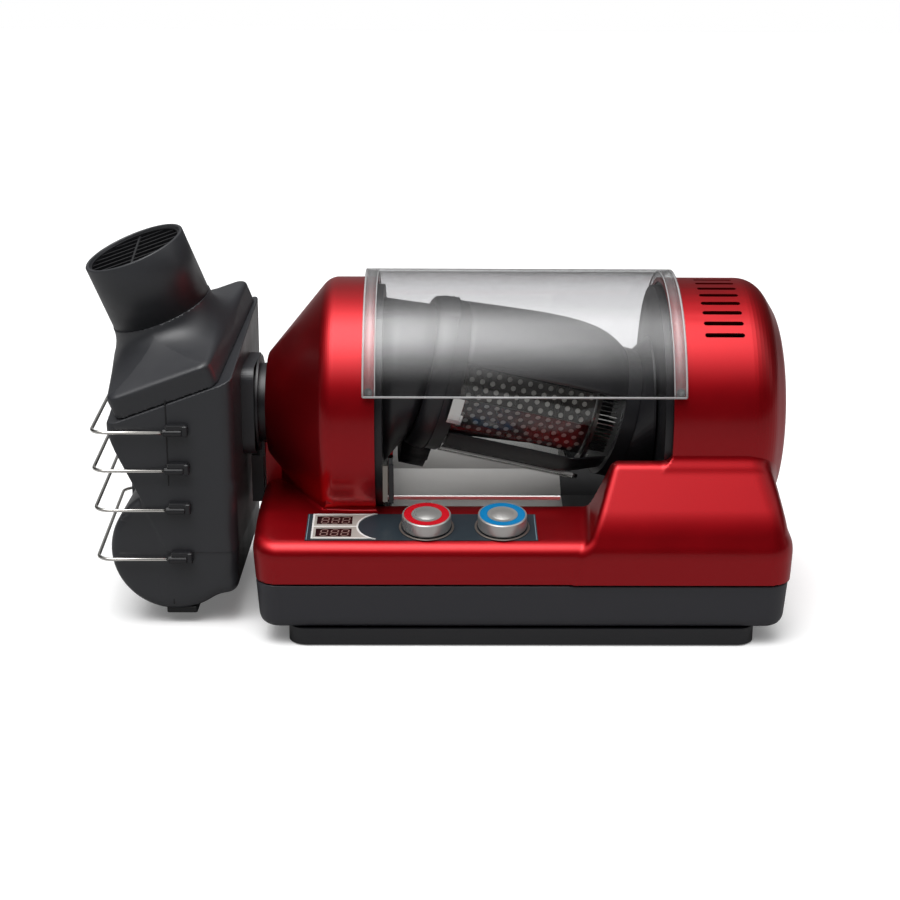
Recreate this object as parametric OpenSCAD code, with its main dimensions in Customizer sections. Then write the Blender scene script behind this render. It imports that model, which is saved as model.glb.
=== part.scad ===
// Home coffee bean roaster with an off-axis rotating chamber and a side chaff collector.
// Units are millimetres. +X runs to the right along the chamber's turning axis, -Y faces the
// user and +Z is up. The origin is on the resting plane, under the middle of the chamber bay.

/* [Overall] */
// Half of the body's width
half_w = 190; // [188:1:196]
// Depth of the control ledge in front of the towers
front_d = 30; // [28:1:36]
// Depth of the body behind the towers
rear_d = 12; // [12:1:20]
// Height of the turning axis above the table
axis_z = 146; // [145:1:149]
// Height of the line where the lower tub meets the upper housing
part_z = 46.5; // [44:0.5:48]
// Height of the tub's lower edge
tub_z = 13; // [12:0.5:15]
// Height of the flat deck around the towers
deck_z = 88; // [87:0.5:89]
// Corner radius of the body seen from above
corner_r = 20; // [16:1:22]
// Wall thickness of the mouldings
wall = 2.8; // [2:0.2:3.4]
// Inward draft of the body's ends, down to the parting line
draft = 2.6; // [1:0.2:3]

/* [Control ledge] */
// Slope of the control ledge, in degrees
ledge_a = 11.1; // [9:0.1:12]
// Height of the ledge at its front edge
ledge_z = 76; // [74:0.5:77]
// Radius of the ledge's rolled front edge
edge_r = 9.5; // [6:0.5:11]
// Distance from the body's left end to the control panel
panel_in = 38; // [36:1:40]
// Width of the control panel right of the time knob's middle
panel_m = 24.4; // [20:0.2:26]
// Depth of the control panel, up the slope
panel_d = 36.5; // [35:0.5:38]
// Thickness of the control panel
panel_t = 1.3; // [1.1:0.1:1.5]

/* [Knobs] */
// Radius of a knob
knob_r = 17.2; // [15:0.2:18]
// Height of a knob above the panel
knob_h = 11; // [9:0.5:14]
// Radius of a knob's shaft
shaft_r = 3; // [2.5:0.25:4]
// Position of the temperature knob along X
temp_x = -67.6; // [-72:0.2:-64]
// Position of the time knob along X
time_x = -14.4; // [-18:0.2:-10]
// Travel of a knob when it is pushed
push = 0.8; // [0.5:0.1:1]

/* [Towers and cover] */
// Outer radius of the two towers
tower_r = 94; // [93:0.5:94.5]
// Distance from the middle to each tower's inner rim
rim_x = 104; // [103:0.5:106]
// Wall thickness of a tower
tower_wall = 3; // [2:0.2:3.4]
// Clearance between the towers and the clear cover
cover_c = 4; // [3.5:0.5:5]
// Thickness of the clear cover
cover_t = 2; // [1.5:0.25:2.5]
// Distance from the middle to each end of the cover
cover_x = 112.5; // [111:0.5:114]
// Angle of the cover's front edge above the horizontal
cover_a = 16.7; // [14:0.1:20]
// Number of ventilation slots in the right tower
slots = 8; // [4:1:10]
// Angle between neighbouring ventilation slots
slot_pitch = 6.24; // [5.5:0.02:6.6]
// Length of a ventilation slot
slot_l = 28; // [20:1:32]
// Width of a ventilation slot
slot_w = 3.6; // [2.5:0.1:4.2]

/* [Chamber] */
// Tilt of the chamber to its turning axis
tilt = 15.5; // [13:0.1:16]
// Angle that the chamber has turned in the rest position
phase = 25; // [0:1:40]
// Where the chamber's own axis crosses the turning axis
cross_x = 44; // [42:1:46]
// Outer radius of the glass chamber
glass_r = 53.4; // [52:0.2:53.6]
// Thickness of the dark shell round the back of the glass
shell_t = 1.3; // [0.8:0.1:1.4]
// Lower and upper edge of the front window, in degrees from the underside
window_a0 = 81; // [70:1:90]
window_a1 = 139; // [120:1:150]
// Thickness of the glass
glass_t = 3; // [2:0.25:3.5]
// Length of the glass along the chamber's own axis
glass_l = 122; // [118:1:123]
// Outer radius of the front collar
collar_r = 56.5; // [56:0.25:57]
// Length of the front collar
collar_l = 18; // [14:1:19]
// Step from the towers' radius down to the bay between them
bay_step = 5; // [4:0.5:5.5]
// Diameter of a hole in the perforated screen
hole_d = 4.4; // [3:0.1:5]
// Spacing of the holes in the perforated screen
hole_pitch = 8; // [7:0.25:10]

/* [Drive] */
// Module of the gears
gear_m = 2; // [2:0.5:2]
// Teeth on the chamber's gear
gear_teeth = 42; // [42:1:42]
// Teeth on the motor's pinion
pinion_teeth = 14; // [14:1:14]
// Thickness of the chamber's gear
gear_t = 8; // [6:0.5:9]
// Outer radius of the chamber's hollow journals
journal_r = 20; // [17:0.5:21]
// Radial running clearance of shafts in their bores
run_c = 0.05; // [0.02:0.01:0.08]

/* [Chaff collector] */
// Radius of the collector's lower lobe
lobe_r = 45; // [42:0.5:46]
// Outer radius of the outlet tube
tube_r = 37.5; // [35:0.5:38]
// Wall of the outlet tube
tube_t = 2.6; // [2:0.2:3]
// Height of the outlet above the cap's lower rim
tube_h = 90; // [80:1:96]
// Radius of a guard wire
wire_r = 1.3; // [1.2:0.1:2]
// Thickness of the collector's walls
coll_t = 2.4; // [2:0.2:3]

/* [Hidden] */
$fn = 64;
gap = 0.3;
flange_t = 1.2;
// Colours
red_c = "#9c1a22";
black_c = "#2b2c30";
steel_c = "#b9b6ae";
dark_c = "#17181a";

front_y = tower_r + front_d;
rear_y = tower_r + rear_d;
panel_x = panel_in - half_w;
panel_w = time_x + panel_m - panel_x;
// Frame of the slanting joint between the collector and its cap, and the outlet tube's place on it
coll_x = -half_w - 60;
cap_z = 180;
cap_lean = 20;
cap_nod = 10;
tube_u = 1.6;
tube_v = 3.7;
// Extents that centre the whole object over the origin
x_min = coll_x + tube_u * cos(cap_lean) - (tube_v * sin(cap_nod) + tube_h * cos(cap_nod)) * sin(cap_lean)
    - tube_r * norm([cos(cap_lean), sin(cap_nod) * sin(cap_lean)]);
x_max = half_w;
y_max = rear_y + flange_t;
shift = [-(x_min + x_max) / 2, (front_y - y_max) / 2, 0];
// Longer than any piece, for cuts that run right through
far = 3 * half_w;
cover_r = tower_r + cover_c + cover_t;
bay_r = tower_r - bay_step;

// ---------- small helpers ----------
// Colours one sub-part and moves it so that the origin lies under the object's middle
module part(c) { color(c) translate(shift) children(); }
function unit(v) = v / norm(v);
// Points of the arc that rounds corner b between a and c
function fillet(a, b, c, r, n = 8) =
    let (u = unit(a - b), w = unit(c - b), half = acos(u * w) / 2,
         mid = b + unit(u + w) * r / sin(half),
         p = b + u * r / tan(half) - mid, q = b + w * r / tan(half) - mid,
         s = atan2(p.y, p.x), d = atan2(q.y, q.x) - s,
         turn = d > 180 ? d - 360 : d < -180 ? d + 360 : d)
    [for (i = [0:n]) mid + r * [cos(s + turn * i / n), sin(s + turn * i / n)]];
// Outline from corners written as [x, y, radius]
function rounded(p) = let (k = len(p)) [for (i = [0:k - 1])
    let (a = p[(i + k - 1) % k], b = p[i], c = p[(i + 1) % k])
    each b[2] > 0 ? fillet([a.x, a.y], [b.x, b.y], [c.x, c.y], b[2]) : [[b.x, b.y]]];

module rounded_rect(x0, x1, y0, y1, r) {
    translate([x0 + r, y0]) square([x1 - x0 - 2 * r, y1 - y0]);
    translate([x0, y0 + r]) square([x1 - x0, y1 - y0 - 2 * r]);
    for (x = [x0 + r, x1 - r], y = [y0 + r, y1 - r]) translate([x, y]) circle(r);
}
module slab(x0, x1, y0, y1, r, z, h) {
    translate([0, 0, z]) linear_extrude(h) rounded_rect(x0, x1, y0, y1, r);
}
module box(x0, x1, y0, y1, z0, z1) {
    translate([x0, y0, z0]) cube([x1 - x0, y1 - y0, z1 - z0]);
}
// Rod along X
module rod(r, x0, x1) {
    translate([x0, 0, 0]) rotate([0, 90, 0]) cylinder(r = r, h = x1 - x0);
}
module pipe(ro, ri, x0, x1) {
    difference() {
        rod(ro, x0, x1);
        rod(ri, x0 - 1, x1 + 1);
    }
}
module on_axis() { translate([0, 0, axis_z]) children(); }
// Solid of revolution about the turning axis, from points [radius, x]
module turned(p) { on_axis() rotate([0, 90, 0]) rotate_extrude($fn = 128) polygon(p); }
// Frame on the control ledge: X across, Y up the slope, Z out of it
ledge_y0 = -front_y + 2;
module ledge_frame() { translate([0, ledge_y0, ledge_z]) rotate([ledge_a, 0, 0]) children(); }
// Frame along the tilted chamber, its own axis on X
module chamber_frame() {
    on_axis() rotate([phase, 0, 0]) translate([cross_x, 0, 0]) rotate([0, tilt, 0]) children();
}

// ---------- tub and feet ----------
plinth_x = half_w - 25;
plinth_front = -front_y + 6;
plinth_rear = rear_y - 8;
foot_r = 10;
foot_h = 3;
foot_x = plinth_x - 22;
screw_x = plinth_x - 48;
screw_r = 2;
screw_head_r = 4;
feet_at = [for (x = [-foot_x, foot_x], y = [plinth_front + 20, plinth_rear - 20]) [x, y]];
screws_at = [for (x = [-screw_x, screw_x], y = [plinth_front + 20, plinth_rear - 20]) [x, y]];
floor_t = 2.5;
// Half of the body's width at the parting line
end_x = half_w - draft;

module bottom_plate() {
    part(dark_c) difference() {
        union() {
            difference() {
                slab(-plinth_x, plinth_x, plinth_front, plinth_rear, 14, 1, tub_z - 1);
                slab(-plinth_x + wall, plinth_x - wall, plinth_front + wall, plinth_rear - wall, 11,
                    foot_h + 1.5, tub_z);
            }
            for (p = screws_at) translate([p.x, p.y, 1]) cylinder(r = screw_head_r + 3, h = tub_z - 1);
            for (p = feet_at) translate([p.x, p.y, 1]) cylinder(r = foot_r + 2, h = foot_h + 2);
        }
        for (p = feet_at) translate([p.x, p.y, -1]) cylinder(r = foot_r + gap, h = foot_h + 1);
        for (p = screws_at) {
            translate([p.x, p.y, -1]) cylinder(r = screw_head_r + gap, h = 4);
            translate([p.x, p.y, -1]) cylinder(r = screw_r + gap, h = tub_z + 2);
        }
        for (i = [-4:4]) box(i * 12 - 2, i * 12 + 2, -20, 40, -1, foot_h + 3);
    }
}
module rubber_feet() {
    part("#1b1b1c") for (p = feet_at) translate([p.x, p.y, 0]) difference() {
        cylinder(r = foot_r, h = foot_h);
        translate([0, 0, -1]) cylinder(r = foot_r / 3, h = 2);
    }
}
module housing_screws() {
    part(steel_c) for (p = screws_at) translate([p.x, p.y, 1.2]) {
        difference() {
            cylinder(r = screw_head_r, h = 1.8);
            translate([0, 0, -1]) cylinder(r = 1.6, h = 2, $fn = 6);
        }
        translate([0, 0, 1.8]) cylinder(r = screw_r, h = tub_z - 0.6);
    }
}
// Outer form of the tub, or its cavity when inset
module tub_form(i = 0) {
    hull() {
        slab(-end_x + i, end_x - i, -front_y + i, rear_y - i, corner_r - i, part_z - 1, 1 + i);
        slab(-end_x + 2 + i, end_x - 2 - i, -front_y + 1.5 + i, rear_y - 1.5 - i, corner_r - i,
            tub_z + 10, 1);
        slab(-end_x + 4.5 + i, end_x - 4.5 - i, -front_y + 3 + i, rear_y - 3 - i, corner_r - 1 - i,
            tub_z + 3 + i, 1);
        slab(-end_x + 8 + i, end_x - 8 - i, -front_y + 6 + i, rear_y - 6 - i, corner_r - 3 - i,
            tub_z + i, 1);
    }
}
inlet_x = half_w - 42;
inlet_w = 27;
inlet_h = 20;
inlet_z = tub_z + 6;
module base_tray() {
    part(black_c) difference() {
        tub_form();
        tub_form(floor_t);
        for (p = screws_at) translate([p.x, p.y, tub_z - 1]) cylinder(r = screw_r + gap, h = 6);
        box(inlet_x, inlet_x + inlet_w, rear_y - 12, rear_y + 2, inlet_z, inlet_z + inlet_h);
        for (i = [-4:4]) box(i * 12 - 2, i * 12 + 2, -20, 40, tub_z - 1, tub_z + 6);
    }
}
module cord_inlet() {
    inner = 3;
    part(dark_c) difference() {
        union() {
            box(inlet_x + gap, inlet_x + inlet_w - gap, rear_y - 16, rear_y, inlet_z + gap,
                inlet_z + inlet_h - gap);
            box(inlet_x - 3, inlet_x + inlet_w + 3, rear_y, rear_y + flange_t, inlet_z - 2,
                inlet_z + inlet_h + 2);
        }
        box(inlet_x + inner, inlet_x + inlet_w - inner, rear_y - 13, rear_y + 3, inlet_z + inner,
            inlet_z + inlet_h - inner);
    }
    part(steel_c) for (x = [-6, 0, 6])
        box(inlet_x + inlet_w / 2 + x - 1, inlet_x + inlet_w / 2 + x + 1, rear_y - 13, rear_y - 4,
            inlet_z + inlet_h / 2 - 2, inlet_z + inlet_h / 2 + 2);
}

// ---------- upper housing ----------
// Rolled corner that a hull stretches into a housing
module roll(i = 0) {
    rotate_extrude($fn = 40) translate([corner_r - edge_r, 0]) circle(edge_r - i, $fn = 24);
}
roll_x = half_w - corner_r;
roll_v = (edge_r * (1 - sin(ledge_a)) - 2) / cos(ledge_a) + corner_r - edge_r;
mid_y = -44;
module ledge_form(i = 0) {
    hull() {
        slab(-end_x + i, end_x - i, -front_y + i, rear_y - i, corner_r - i, part_z - i, 1);
        for (x = [-roll_x, roll_x]) {
            ledge_frame() translate([x, roll_v, -edge_r]) roll(i);
            translate([x, mid_y, deck_z - edge_r]) roll(i);
            translate([x, rear_y - corner_r, deck_z - edge_r]) roll(i);
        }
    }
}
// Raised hump at the front right
hump_x = 46;
hump_top_x = 62;
hump_z = 128;
hump_y = -92;
hump_edge = 3;
hump_roll_z = 78;
module hump_form(i = 0) {
    hull() {
        slab(hump_x + 3 + i, end_x - i, -front_y + i, -30, corner_r - i, part_z - i, 1);
        translate([roll_x, -front_y + corner_r, hump_roll_z]) roll(i);
        translate([hump_top_x + 9, -front_y + edge_r, hump_roll_z]) rotate([0, 90, 0])
            cylinder(r = edge_r - i, h = 20, $fn = 32);
        for (y = [-front_y + hump_edge, -66]) translate([hump_x + hump_edge, y, ledge_z - 8])
            sphere(r = hump_edge - i / 2, $fn = 24);
        for (y = [hump_y, -60]) translate([hump_top_x + hump_edge, y, hump_z - hump_edge])
            rotate([0, 90, 0]) cylinder(r = hump_edge - i / 2, h = half_w - hump_top_x - 20, $fn = 24);
        translate([roll_x + 6, -60, deck_z]) sphere(r = 12 - i, $fn = 32);
    }
}
// Outlines of the towers as [radius, x, rounding]
function left_outline(i) = rounded([[0, 2 * abs(i) - rim_x, 0], [tower_r - i, 2 * abs(i) - rim_x, 0],
    [tower_r - i, -rim_x - 35, 14], [38 - i / 2, -half_w + 5 + i, 5], [0, -half_w + i, 0]]);
function right_outline(i) = rounded([[0, rim_x - 2 * abs(i), 0], [tower_r - i, rim_x - 2 * abs(i), 0],
    [tower_r - i, half_w - 18, 22 - i], [70 - i, half_w - 2.5 - i, 24 - i], [0, half_w - i, 0]]);
foot_z = deck_z - 14;
// Straight-sided foot under the left tower's cone, seen from above
module left_foot(i = 0) {
    intersection() {
        translate([0, 0, foot_z - 1 - i]) linear_extrude(axis_z - foot_z) polygon([
            [-rim_x - 16, -80 + i], [-rim_x - 35.5, -76 + i], [-half_w + 13 + i, -8 + i / 2],
            [-half_w + 1.5 + i, -8 + i], [-half_w + 1.5 + i, 8 - i], [-half_w + 13 + i, 8 - i / 2],
            [-rim_x - 35.5, 76 - i], [-rim_x - 16, 80 - i]]);
        on_axis() rod(tower_r - i, -half_w, -rim_x);
    }
}
module left_solid(i = 0) {
    turned(left_outline(i));
    left_foot(i);
}
module right_solid(i = 0) { turned(right_outline(i)); }
panel_v = 7.6;
panel_sink = 1;
vent_x = 60;
vent_z = part_z + 8;
vent_h = 24;
module upper_housing() {
    part(red_c) difference() {
        union() {
            ledge_form();
            hump_form();
        }
        ledge_form(wall);
        hump_form(wall);
        on_axis() rod(bay_r, -rim_x - 1, rim_x + 1);
        box(-rim_x, rim_x, -bay_r + 8, rear_y - 14, axis_z - 30, axis_z + 60);
        left_solid(-gap);
        right_solid(-gap);
        ledge_frame() {
            translate([panel_x - gap, panel_v - gap, -panel_sink])
                cube([panel_w + 2 * gap, panel_d + 2 * gap, 10]);
            for (x = [temp_x, time_x]) translate([x, panel_v + panel_d / 2, -10])
                cylinder(r = shaft_r + 2, h = 20);
        }
        box(-vent_x - gap, vent_x + gap, rear_y - 8, rear_y + 2, vent_z - gap, vent_z + vent_h + gap);
    }
}
module rear_vent_panel() {
    part(black_c) difference() {
        box(-vent_x, vent_x, rear_y - 2.5, rear_y, vent_z, vent_z + vent_h);
        for (i = [-9:9]) box(i * 6 - 1.5, i * 6 + 1.5, rear_y - 4, rear_y + 1, vent_z + 4,
            vent_z + vent_h - 4);
    }
}

// ---------- towers ----------
port_r = 30;
module left_tower() {
    part(red_c) difference() {
        left_solid();
        left_solid(tower_wall);
        box(-half_w - 5, -rim_x + 5, -tower_r - 5, tower_r + 5, 0, foot_z);
        on_axis() rod(port_r, -half_w - 5, -half_w + 20);
    }
}
module vent_slot(a) {
    on_axis() rotate([a, 0, 0]) translate([rim_x + 23, 0, tower_r - 10]) {
        translate([slot_w / 2, -slot_w / 2, 0]) cube([slot_l - slot_w, slot_w, 20]);
        for (x = [slot_w / 2, slot_l - slot_w / 2]) translate([x, 0, 0])
            cylinder(r = slot_w / 2, h = 20, $fn = 24);
    }
}
module right_tower() {
    part(red_c) difference() {
        right_solid();
        right_solid(tower_wall);
        box(rim_x - 5, half_w + 5, -tower_r - 5, tower_r + 5, 0, foot_z);
        for (i = [0:slots - 1]) vent_slot(1 + i * slot_pitch);
    }
}
module hinge_at(y, z) { translate([0, y, z]) children(); }

// ---------- bay between the towers ----------
bulk_t = 5;
bearing_r = journal_r + 9;
module left_bulkhead() {
    part(dark_c) on_axis() difference() {
        union() {
            rod(bay_r - 0.5, -rim_x - 1, -rim_x + bulk_t);
            rod(tower_r - tower_wall - gap, -rim_x - 4, -rim_x - 1);
        }
        rod(bearing_r, -rim_x - 10, -rim_x + 10);
    }
}
module right_bulkhead() {
    part(dark_c) on_axis() difference() {
        union() {
            rod(bay_r - 0.5, rim_x - bulk_t, rim_x + 1);
            rod(tower_r - tower_wall - gap, rim_x + 1, rim_x + 4);
        }
        rod(bearing_r, rim_x - 10, rim_x + 10);
    }
}
module left_bearing() {
    part("#8d8a80") on_axis() difference() {
        union() {
            rod(bearing_r, -rim_x - 4, -rim_x + bulk_t);
            rod(bearing_r + 4, -rim_x - 7, -rim_x - 4);
        }
        rod(journal_r + run_c, -rim_x - 10, -rim_x + 10);
    }
}
module right_bearing() {
    part("#8d8a80") on_axis() difference() {
        union() {
            rod(bearing_r, rim_x - bulk_t, rim_x + 4);
            rod(bearing_r + 2, rim_x + 4, rim_x + 6);
        }
        rod(journal_r + run_c, rim_x - 10, rim_x + 10);
    }
}
// Bent sheet round the turning axis: flats of a regular polygon, from a0 to a1 degrees
// counted from straight down towards the rear
module bent_sheet(r, t, a0, a1, steps, x0, x1) {
    step = (a1 - a0) / steps;
    inner = [for (i = [0:steps]) r / cos(step / 2) * [sin(a0 + i * step), -cos(a0 + i * step)]];
    outer = [for (i = [steps:-1:0])
        (r + t) / cos(step / 2) * [sin(a0 + i * step), -cos(a0 + i * step)]];
    translate([x0, 0, axis_z]) rotate([90, 0, 90]) linear_extrude(x1 - x0)
        polygon(concat(inner, outer));
}
sheet_t = 0.8;
fold_r = bay_r - 2.3;
liner_t = 1.2;
// Angle at which the liner under the bay meets the housing's wall
liner_a = acos((axis_z - deck_z + wall) / (bay_r + gap + liner_t)) - 2;
module reflector_plate() {
    part(steel_c) bent_sheet(fold_r, sheet_t, -36, 76, 6, -rim_x + bulk_t + 4, 37);
}
module bay_liner() {
    part(dark_c) {
        bent_sheet(bay_r + gap, liner_t, -liner_a, liner_a, 6, -rim_x + bulk_t + gap,
            rim_x - bulk_t - gap);
        bent_sheet(fold_r, sheet_t, -36, 76, 6, 37 + gap, rim_x - bulk_t - gap);
    }
}
module bay_side_strips() {
    part(steel_c) intersection() {
        on_axis() {
            pipe(bay_r - 2, bay_r - 5.5, -rim_x + bulk_t + gap, -rim_x + bulk_t + 1.2);
            pipe(bay_r - 2, bay_r - 5.5, -rim_x + bulk_t + 4.3, -rim_x + bulk_t + 5.2);
        }
        box(-rim_x, 0, -bay_r, -bay_r / 2, 0, axis_z - 28);
    }
}

// ---------- controls ----------
knob_v = panel_v + panel_d / 2;
module control_panel() {
    part("#333c46") ledge_frame() difference() {
        union() {
            translate([panel_x, panel_v, -panel_sink]) cube([panel_w, panel_d, panel_t]);
            for (x = [temp_x, time_x]) translate([x, knob_v, -panel_sink])
                cylinder(r = knob_r + 1.5, h = panel_t + 0.6);
        }
        for (x = [temp_x, time_x]) translate([x, knob_v, -panel_sink - 1]) {
            cylinder(r = shaft_r + 2, h = 5);
            translate([0, 0, panel_t + 1]) cylinder(r = knob_r + gap, h = 5);
        }
    }
}
display_x = panel_x + 4;
display_w = 42;
display_v = panel_v + 1.2;
display_d = panel_d - 2.4;
module display_module() {
    part("#b5ada2") ledge_frame() translate([0, 0, panel_t - panel_sink]) difference() {
        translate([display_x, display_v, 0]) cube([display_w, display_d, 0.5]);
        translate([display_x + display_w + 8, display_v + display_d / 2, -1])
            cylinder(r = display_d / 2 + 0.6, h = 3);
        for (v = [0, 1]) translate([display_x + 3, display_v + 3 + v * (display_d / 2), 0.2])
            cube([25, display_d / 2 - 6, 1]);
    }
}
board_w = 16;
module control_board() {
    part("#1f5a3a") ledge_frame() difference() {
        union() {
            translate([panel_x + 4, panel_v, -board_w]) cube([panel_w - 8, panel_d, 1.6]);
            for (x = [temp_x, time_x]) translate([x, knob_v, -board_w + 1.6])
                cylinder(r = shaft_r + 5, h = board_w - 1.6 - wall - 2.2);
            translate([display_x + 2, display_v + 4, -board_w + 1.6])
                cube([28, display_d - 8, board_w - 1.6 - wall - 2.2]);
            for (x = [panel_x + 12, panel_x + panel_w - 12], v = [panel_v + 5, panel_v + panel_d - 5])
                translate([x, v, -board_w + 1.6]) cylinder(r = 3, h = board_w - 1.6 - wall - gap);
        }
        for (x = [temp_x, time_x]) translate([x, knob_v, -board_w + 2.6])
            cylinder(r = shaft_r + run_c, h = board_w);
    }
}
stem_lo = -board_w + 2.6 + push + gap;
module stem(x) {
    ledge_frame() translate([x, knob_v, stem_lo]) {
        cylinder(r = shaft_r, h = knob_h - 4 - stem_lo);
    }
}
module knob(x) {
    lift = push + 0.6;
    ledge_frame() translate([x, knob_v, 0]) difference() {
        union() {
            translate([0, 0, lift]) cylinder(r1 = knob_r - 0.4, r2 = knob_r, h = 1);
            translate([0, 0, lift + 1]) cylinder(r = knob_r, h = knob_h - lift - 1.6);
            translate([0, 0, knob_h - 0.6]) cylinder(r1 = knob_r, r2 = knob_r - 0.6, h = 0.6);
            translate([0, 0, knob_h - 4.2]) intersection() {
                translate([0, 0, -21]) sphere(r = 26.5, $fn = 96);
                cylinder(r = knob_r * 0.6, h = 6);
            }
        }
        translate([0, 0, -1]) cylinder(r = shaft_r + run_c, h = knob_h - 2.7);
        translate([0, 0, knob_h - 1]) difference() {
            cylinder(r = knob_r - 1.2, h = 3);
            translate([0, 0, -1]) cylinder(r = knob_r * 0.62, h = 6);
        }
    }
}
module knob_ring(x) {
    ledge_frame() translate([x, knob_v, knob_h - 1]) difference() {
        cylinder(r = knob_r - 1.3, h = 0.8);
        translate([0, 0, -1]) cylinder(r = knob_r * 0.62 + 0.1, h = 3);
    }
}
module temp_shaft() { part(steel_c) stem(temp_x); }
module time_shaft() { part(steel_c) stem(time_x); }
module temp_knob() { part("#a7a49d") knob(temp_x); }
module time_knob() { part("#a7a49d") knob(time_x); }
module temp_ring() { part("#c8141f") knob_ring(temp_x); }
module time_ring() { part("#0a83bd") knob_ring(time_x); }

// ---------- chamber assembly ----------
glass_x0 = -98;
shell_r = glass_r + gap + shell_t;
glass_x1 = glass_x0 + glass_l;
collar_x0 = glass_x0 - collar_l;
rear_l = 10;
holder_off = 22;
module exhaust_cone(i, e) {
    hull() {
        on_axis() rotate([phase, 0, 0]) translate([0, 0, holder_off])
            rod(57 - i, -rim_x + bulk_t + 1.5 - e, -rim_x + bulk_t + 3 - e, $fn = 64);
        chamber_frame() rod(collar_r - 1 - i, collar_x0 - 1.2 + e, collar_x0 - 0.2 + e, $fn = 64);
    }
}
module exhaust_holder() {
    part(dark_c) difference() {
        union() {
            difference() {
                exhaust_cone(0, 0);
                exhaust_cone(3, 1);
            }
            on_axis() rotate([phase, 0, 0]) translate([0, 0, holder_off])
                rod(56, -rim_x + bulk_t + 1.5, -rim_x + bulk_t + 4);
        }
        on_axis() rod(journal_r, -rim_x, -rim_x + 16);
    }
}
module exhaust_journal() {
    part(steel_c) on_axis() pipe(journal_r, journal_r - 4, -rim_x - 24, -rim_x + bulk_t + 1.5);
}
module front_collar() {
    part(black_c) chamber_frame() difference() {
        union() {
            rod(collar_r, collar_x0, glass_x0, $fn = 96);
            translate([collar_x0 + 2, -14, -collar_r - 1.5]) cube([collar_l - 4, 28, 12]);
        }
        rod(collar_r - 5, collar_x0 + 3, glass_x0 + 1);
        rod(journal_r, collar_x0 - 1, collar_x0 + 5);
    }
}
// Glass outline as [radius, x, rounding], with a shoulder at the drive end
function glass_outline(i) = rounded([[0, glass_x0 - i, 0], [glass_r - i, glass_x0 - i, 0],
    [glass_r - i, glass_x1 - 26, 40], [glass_r - 9 - i, glass_x1 + i, 0], [0, glass_x1 + i, 0]]);
module chamber_glass() {
    part([0.7, 0.72, 0.72, 0.4]) chamber_frame() rotate([0, 90, 0])
        rotate_extrude($fn = 96) difference() {
            polygon(glass_outline(0));
            polygon(glass_outline(glass_t));
        }
}
// Stretch of the skin over the glass, between two angles from the underside towards the front
module chamber_skin(a0, a1) {
    steps = ceil((a1 - a0) / 40);
    chamber_frame() intersection() {
        rotate([0, 90, 0]) rotate_extrude($fn = 96) difference() {
            polygon(glass_outline(-gap - shell_t));
            polygon(glass_outline(-gap));
        }
        translate([glass_x0, 0, 0]) rotate([90, 0, 90]) linear_extrude(glass_l)
            polygon(concat([[0, 0]], [for (i = [0:steps]) let (a = a0 + (a1 - a0) * i / steps)
                2 * glass_r * [-sin(a), -cos(a)]]));
    }
}
back_a = 300;
module chamber_shell() { part(dark_c) chamber_skin(window_a1, back_a); }
module sight_band() { part(black_c) chamber_skin(window_a0 - 21, window_a0 - 0.5); }
window_a = (window_a0 + window_a1) / 2;
screen_r = glass_r - glass_t - 5;
screen_n = 5;
screen_a = 26;
ring_i = glass_r - glass_t - 10;
screen_l = glass_l - 42;
module perforated_screen() {
    flat_w = 2 * screen_r * tan(screen_a / 2);
    part(steel_c) chamber_frame() for (x = [glass_x0 + 4, glass_x0 + 5.4 + screen_l])
        pipe(glass_r - glass_t - gap, ring_i, x, x + 2.6);
    part(steel_c) chamber_frame() for (k = [0:screen_n - 1])
        rotate([(k - 2) * screen_a - window_a, 0, 0]) translate([glass_x0 + 6, 0, -screen_r])
            linear_extrude(0.8) difference() {
                translate([0, -flat_w / 2 + 0.02]) square([screen_l, flat_w - 0.04]);
                for (r = [0, 1], c = [0:floor((screen_l - 10) / hole_pitch)])
                    translate([6 + (c + r / 2) * hole_pitch, (r - 0.5) * hole_pitch])
                        circle(hole_d / 2, $fn = 20);
            }
}
module mixing_vanes() {
    part(steel_c) chamber_frame() for (a = [60, 180, 300]) rotate([a + 75, 0, 0]) {
        translate([glass_x0 + 5.6, -0.4, -ring_i - 1]) cube([screen_l, 0.8, 22]);
        translate([glass_x0 + 6.8, -8, -ring_i + 21]) cube([screen_l - 1.6, 8.4, 0.8]);
    }
}
handle_l = glass_l - 20;
handle_w = 9;
bar_w = 2;
module chamber_handle() {
    lift = glass_r + 3;
    part(steel_c) chamber_frame() rotate([27 - window_a0, 0, 0]) {
        for (y = [-handle_w / 2, handle_w / 2 - bar_w]) translate([glass_x0 + gap, y, -lift])
            cube([handle_l, bar_w, 2]);
        for (x = [0, handle_l / 2]) translate([glass_x0 + gap + x, -handle_w / 2 + 0.5, -lift + 0.5])
            cube([bar_w, handle_w - 1, lift - glass_r - 0.6]);
        translate([glass_x0 + gap + handle_l, 0, -lift]) difference() {
            cylinder(r = handle_w / 2, h = 2);
            translate([0, 0, -1]) cylinder(r = handle_w / 2 - bar_w, h = 4);
            translate([-20, -20, -1]) cube([19.9, 40, 4]);
        }
    }
}
tab_l = 20;
module latch_tab() {
    part(steel_c) chamber_frame() rotate([10 - window_a, 0, 0])
        translate([glass_x0 - 8, -tab_l / 2, -collar_r - gap - 1.2]) difference() {
            cube([8, tab_l, 1.2]);
            translate([2, tab_l / 2 - 3, -1]) cube([4, 6, 4]);
        }
}
module rear_collar() {
    part(black_c) chamber_frame() difference() {
        rod(glass_r - 4.5, glass_x1, glass_x1 + rear_l, $fn = 96);
        rod(journal_r - 4, glass_x1 - 1, glass_x1 + rear_l + 1);
    }
}
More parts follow.
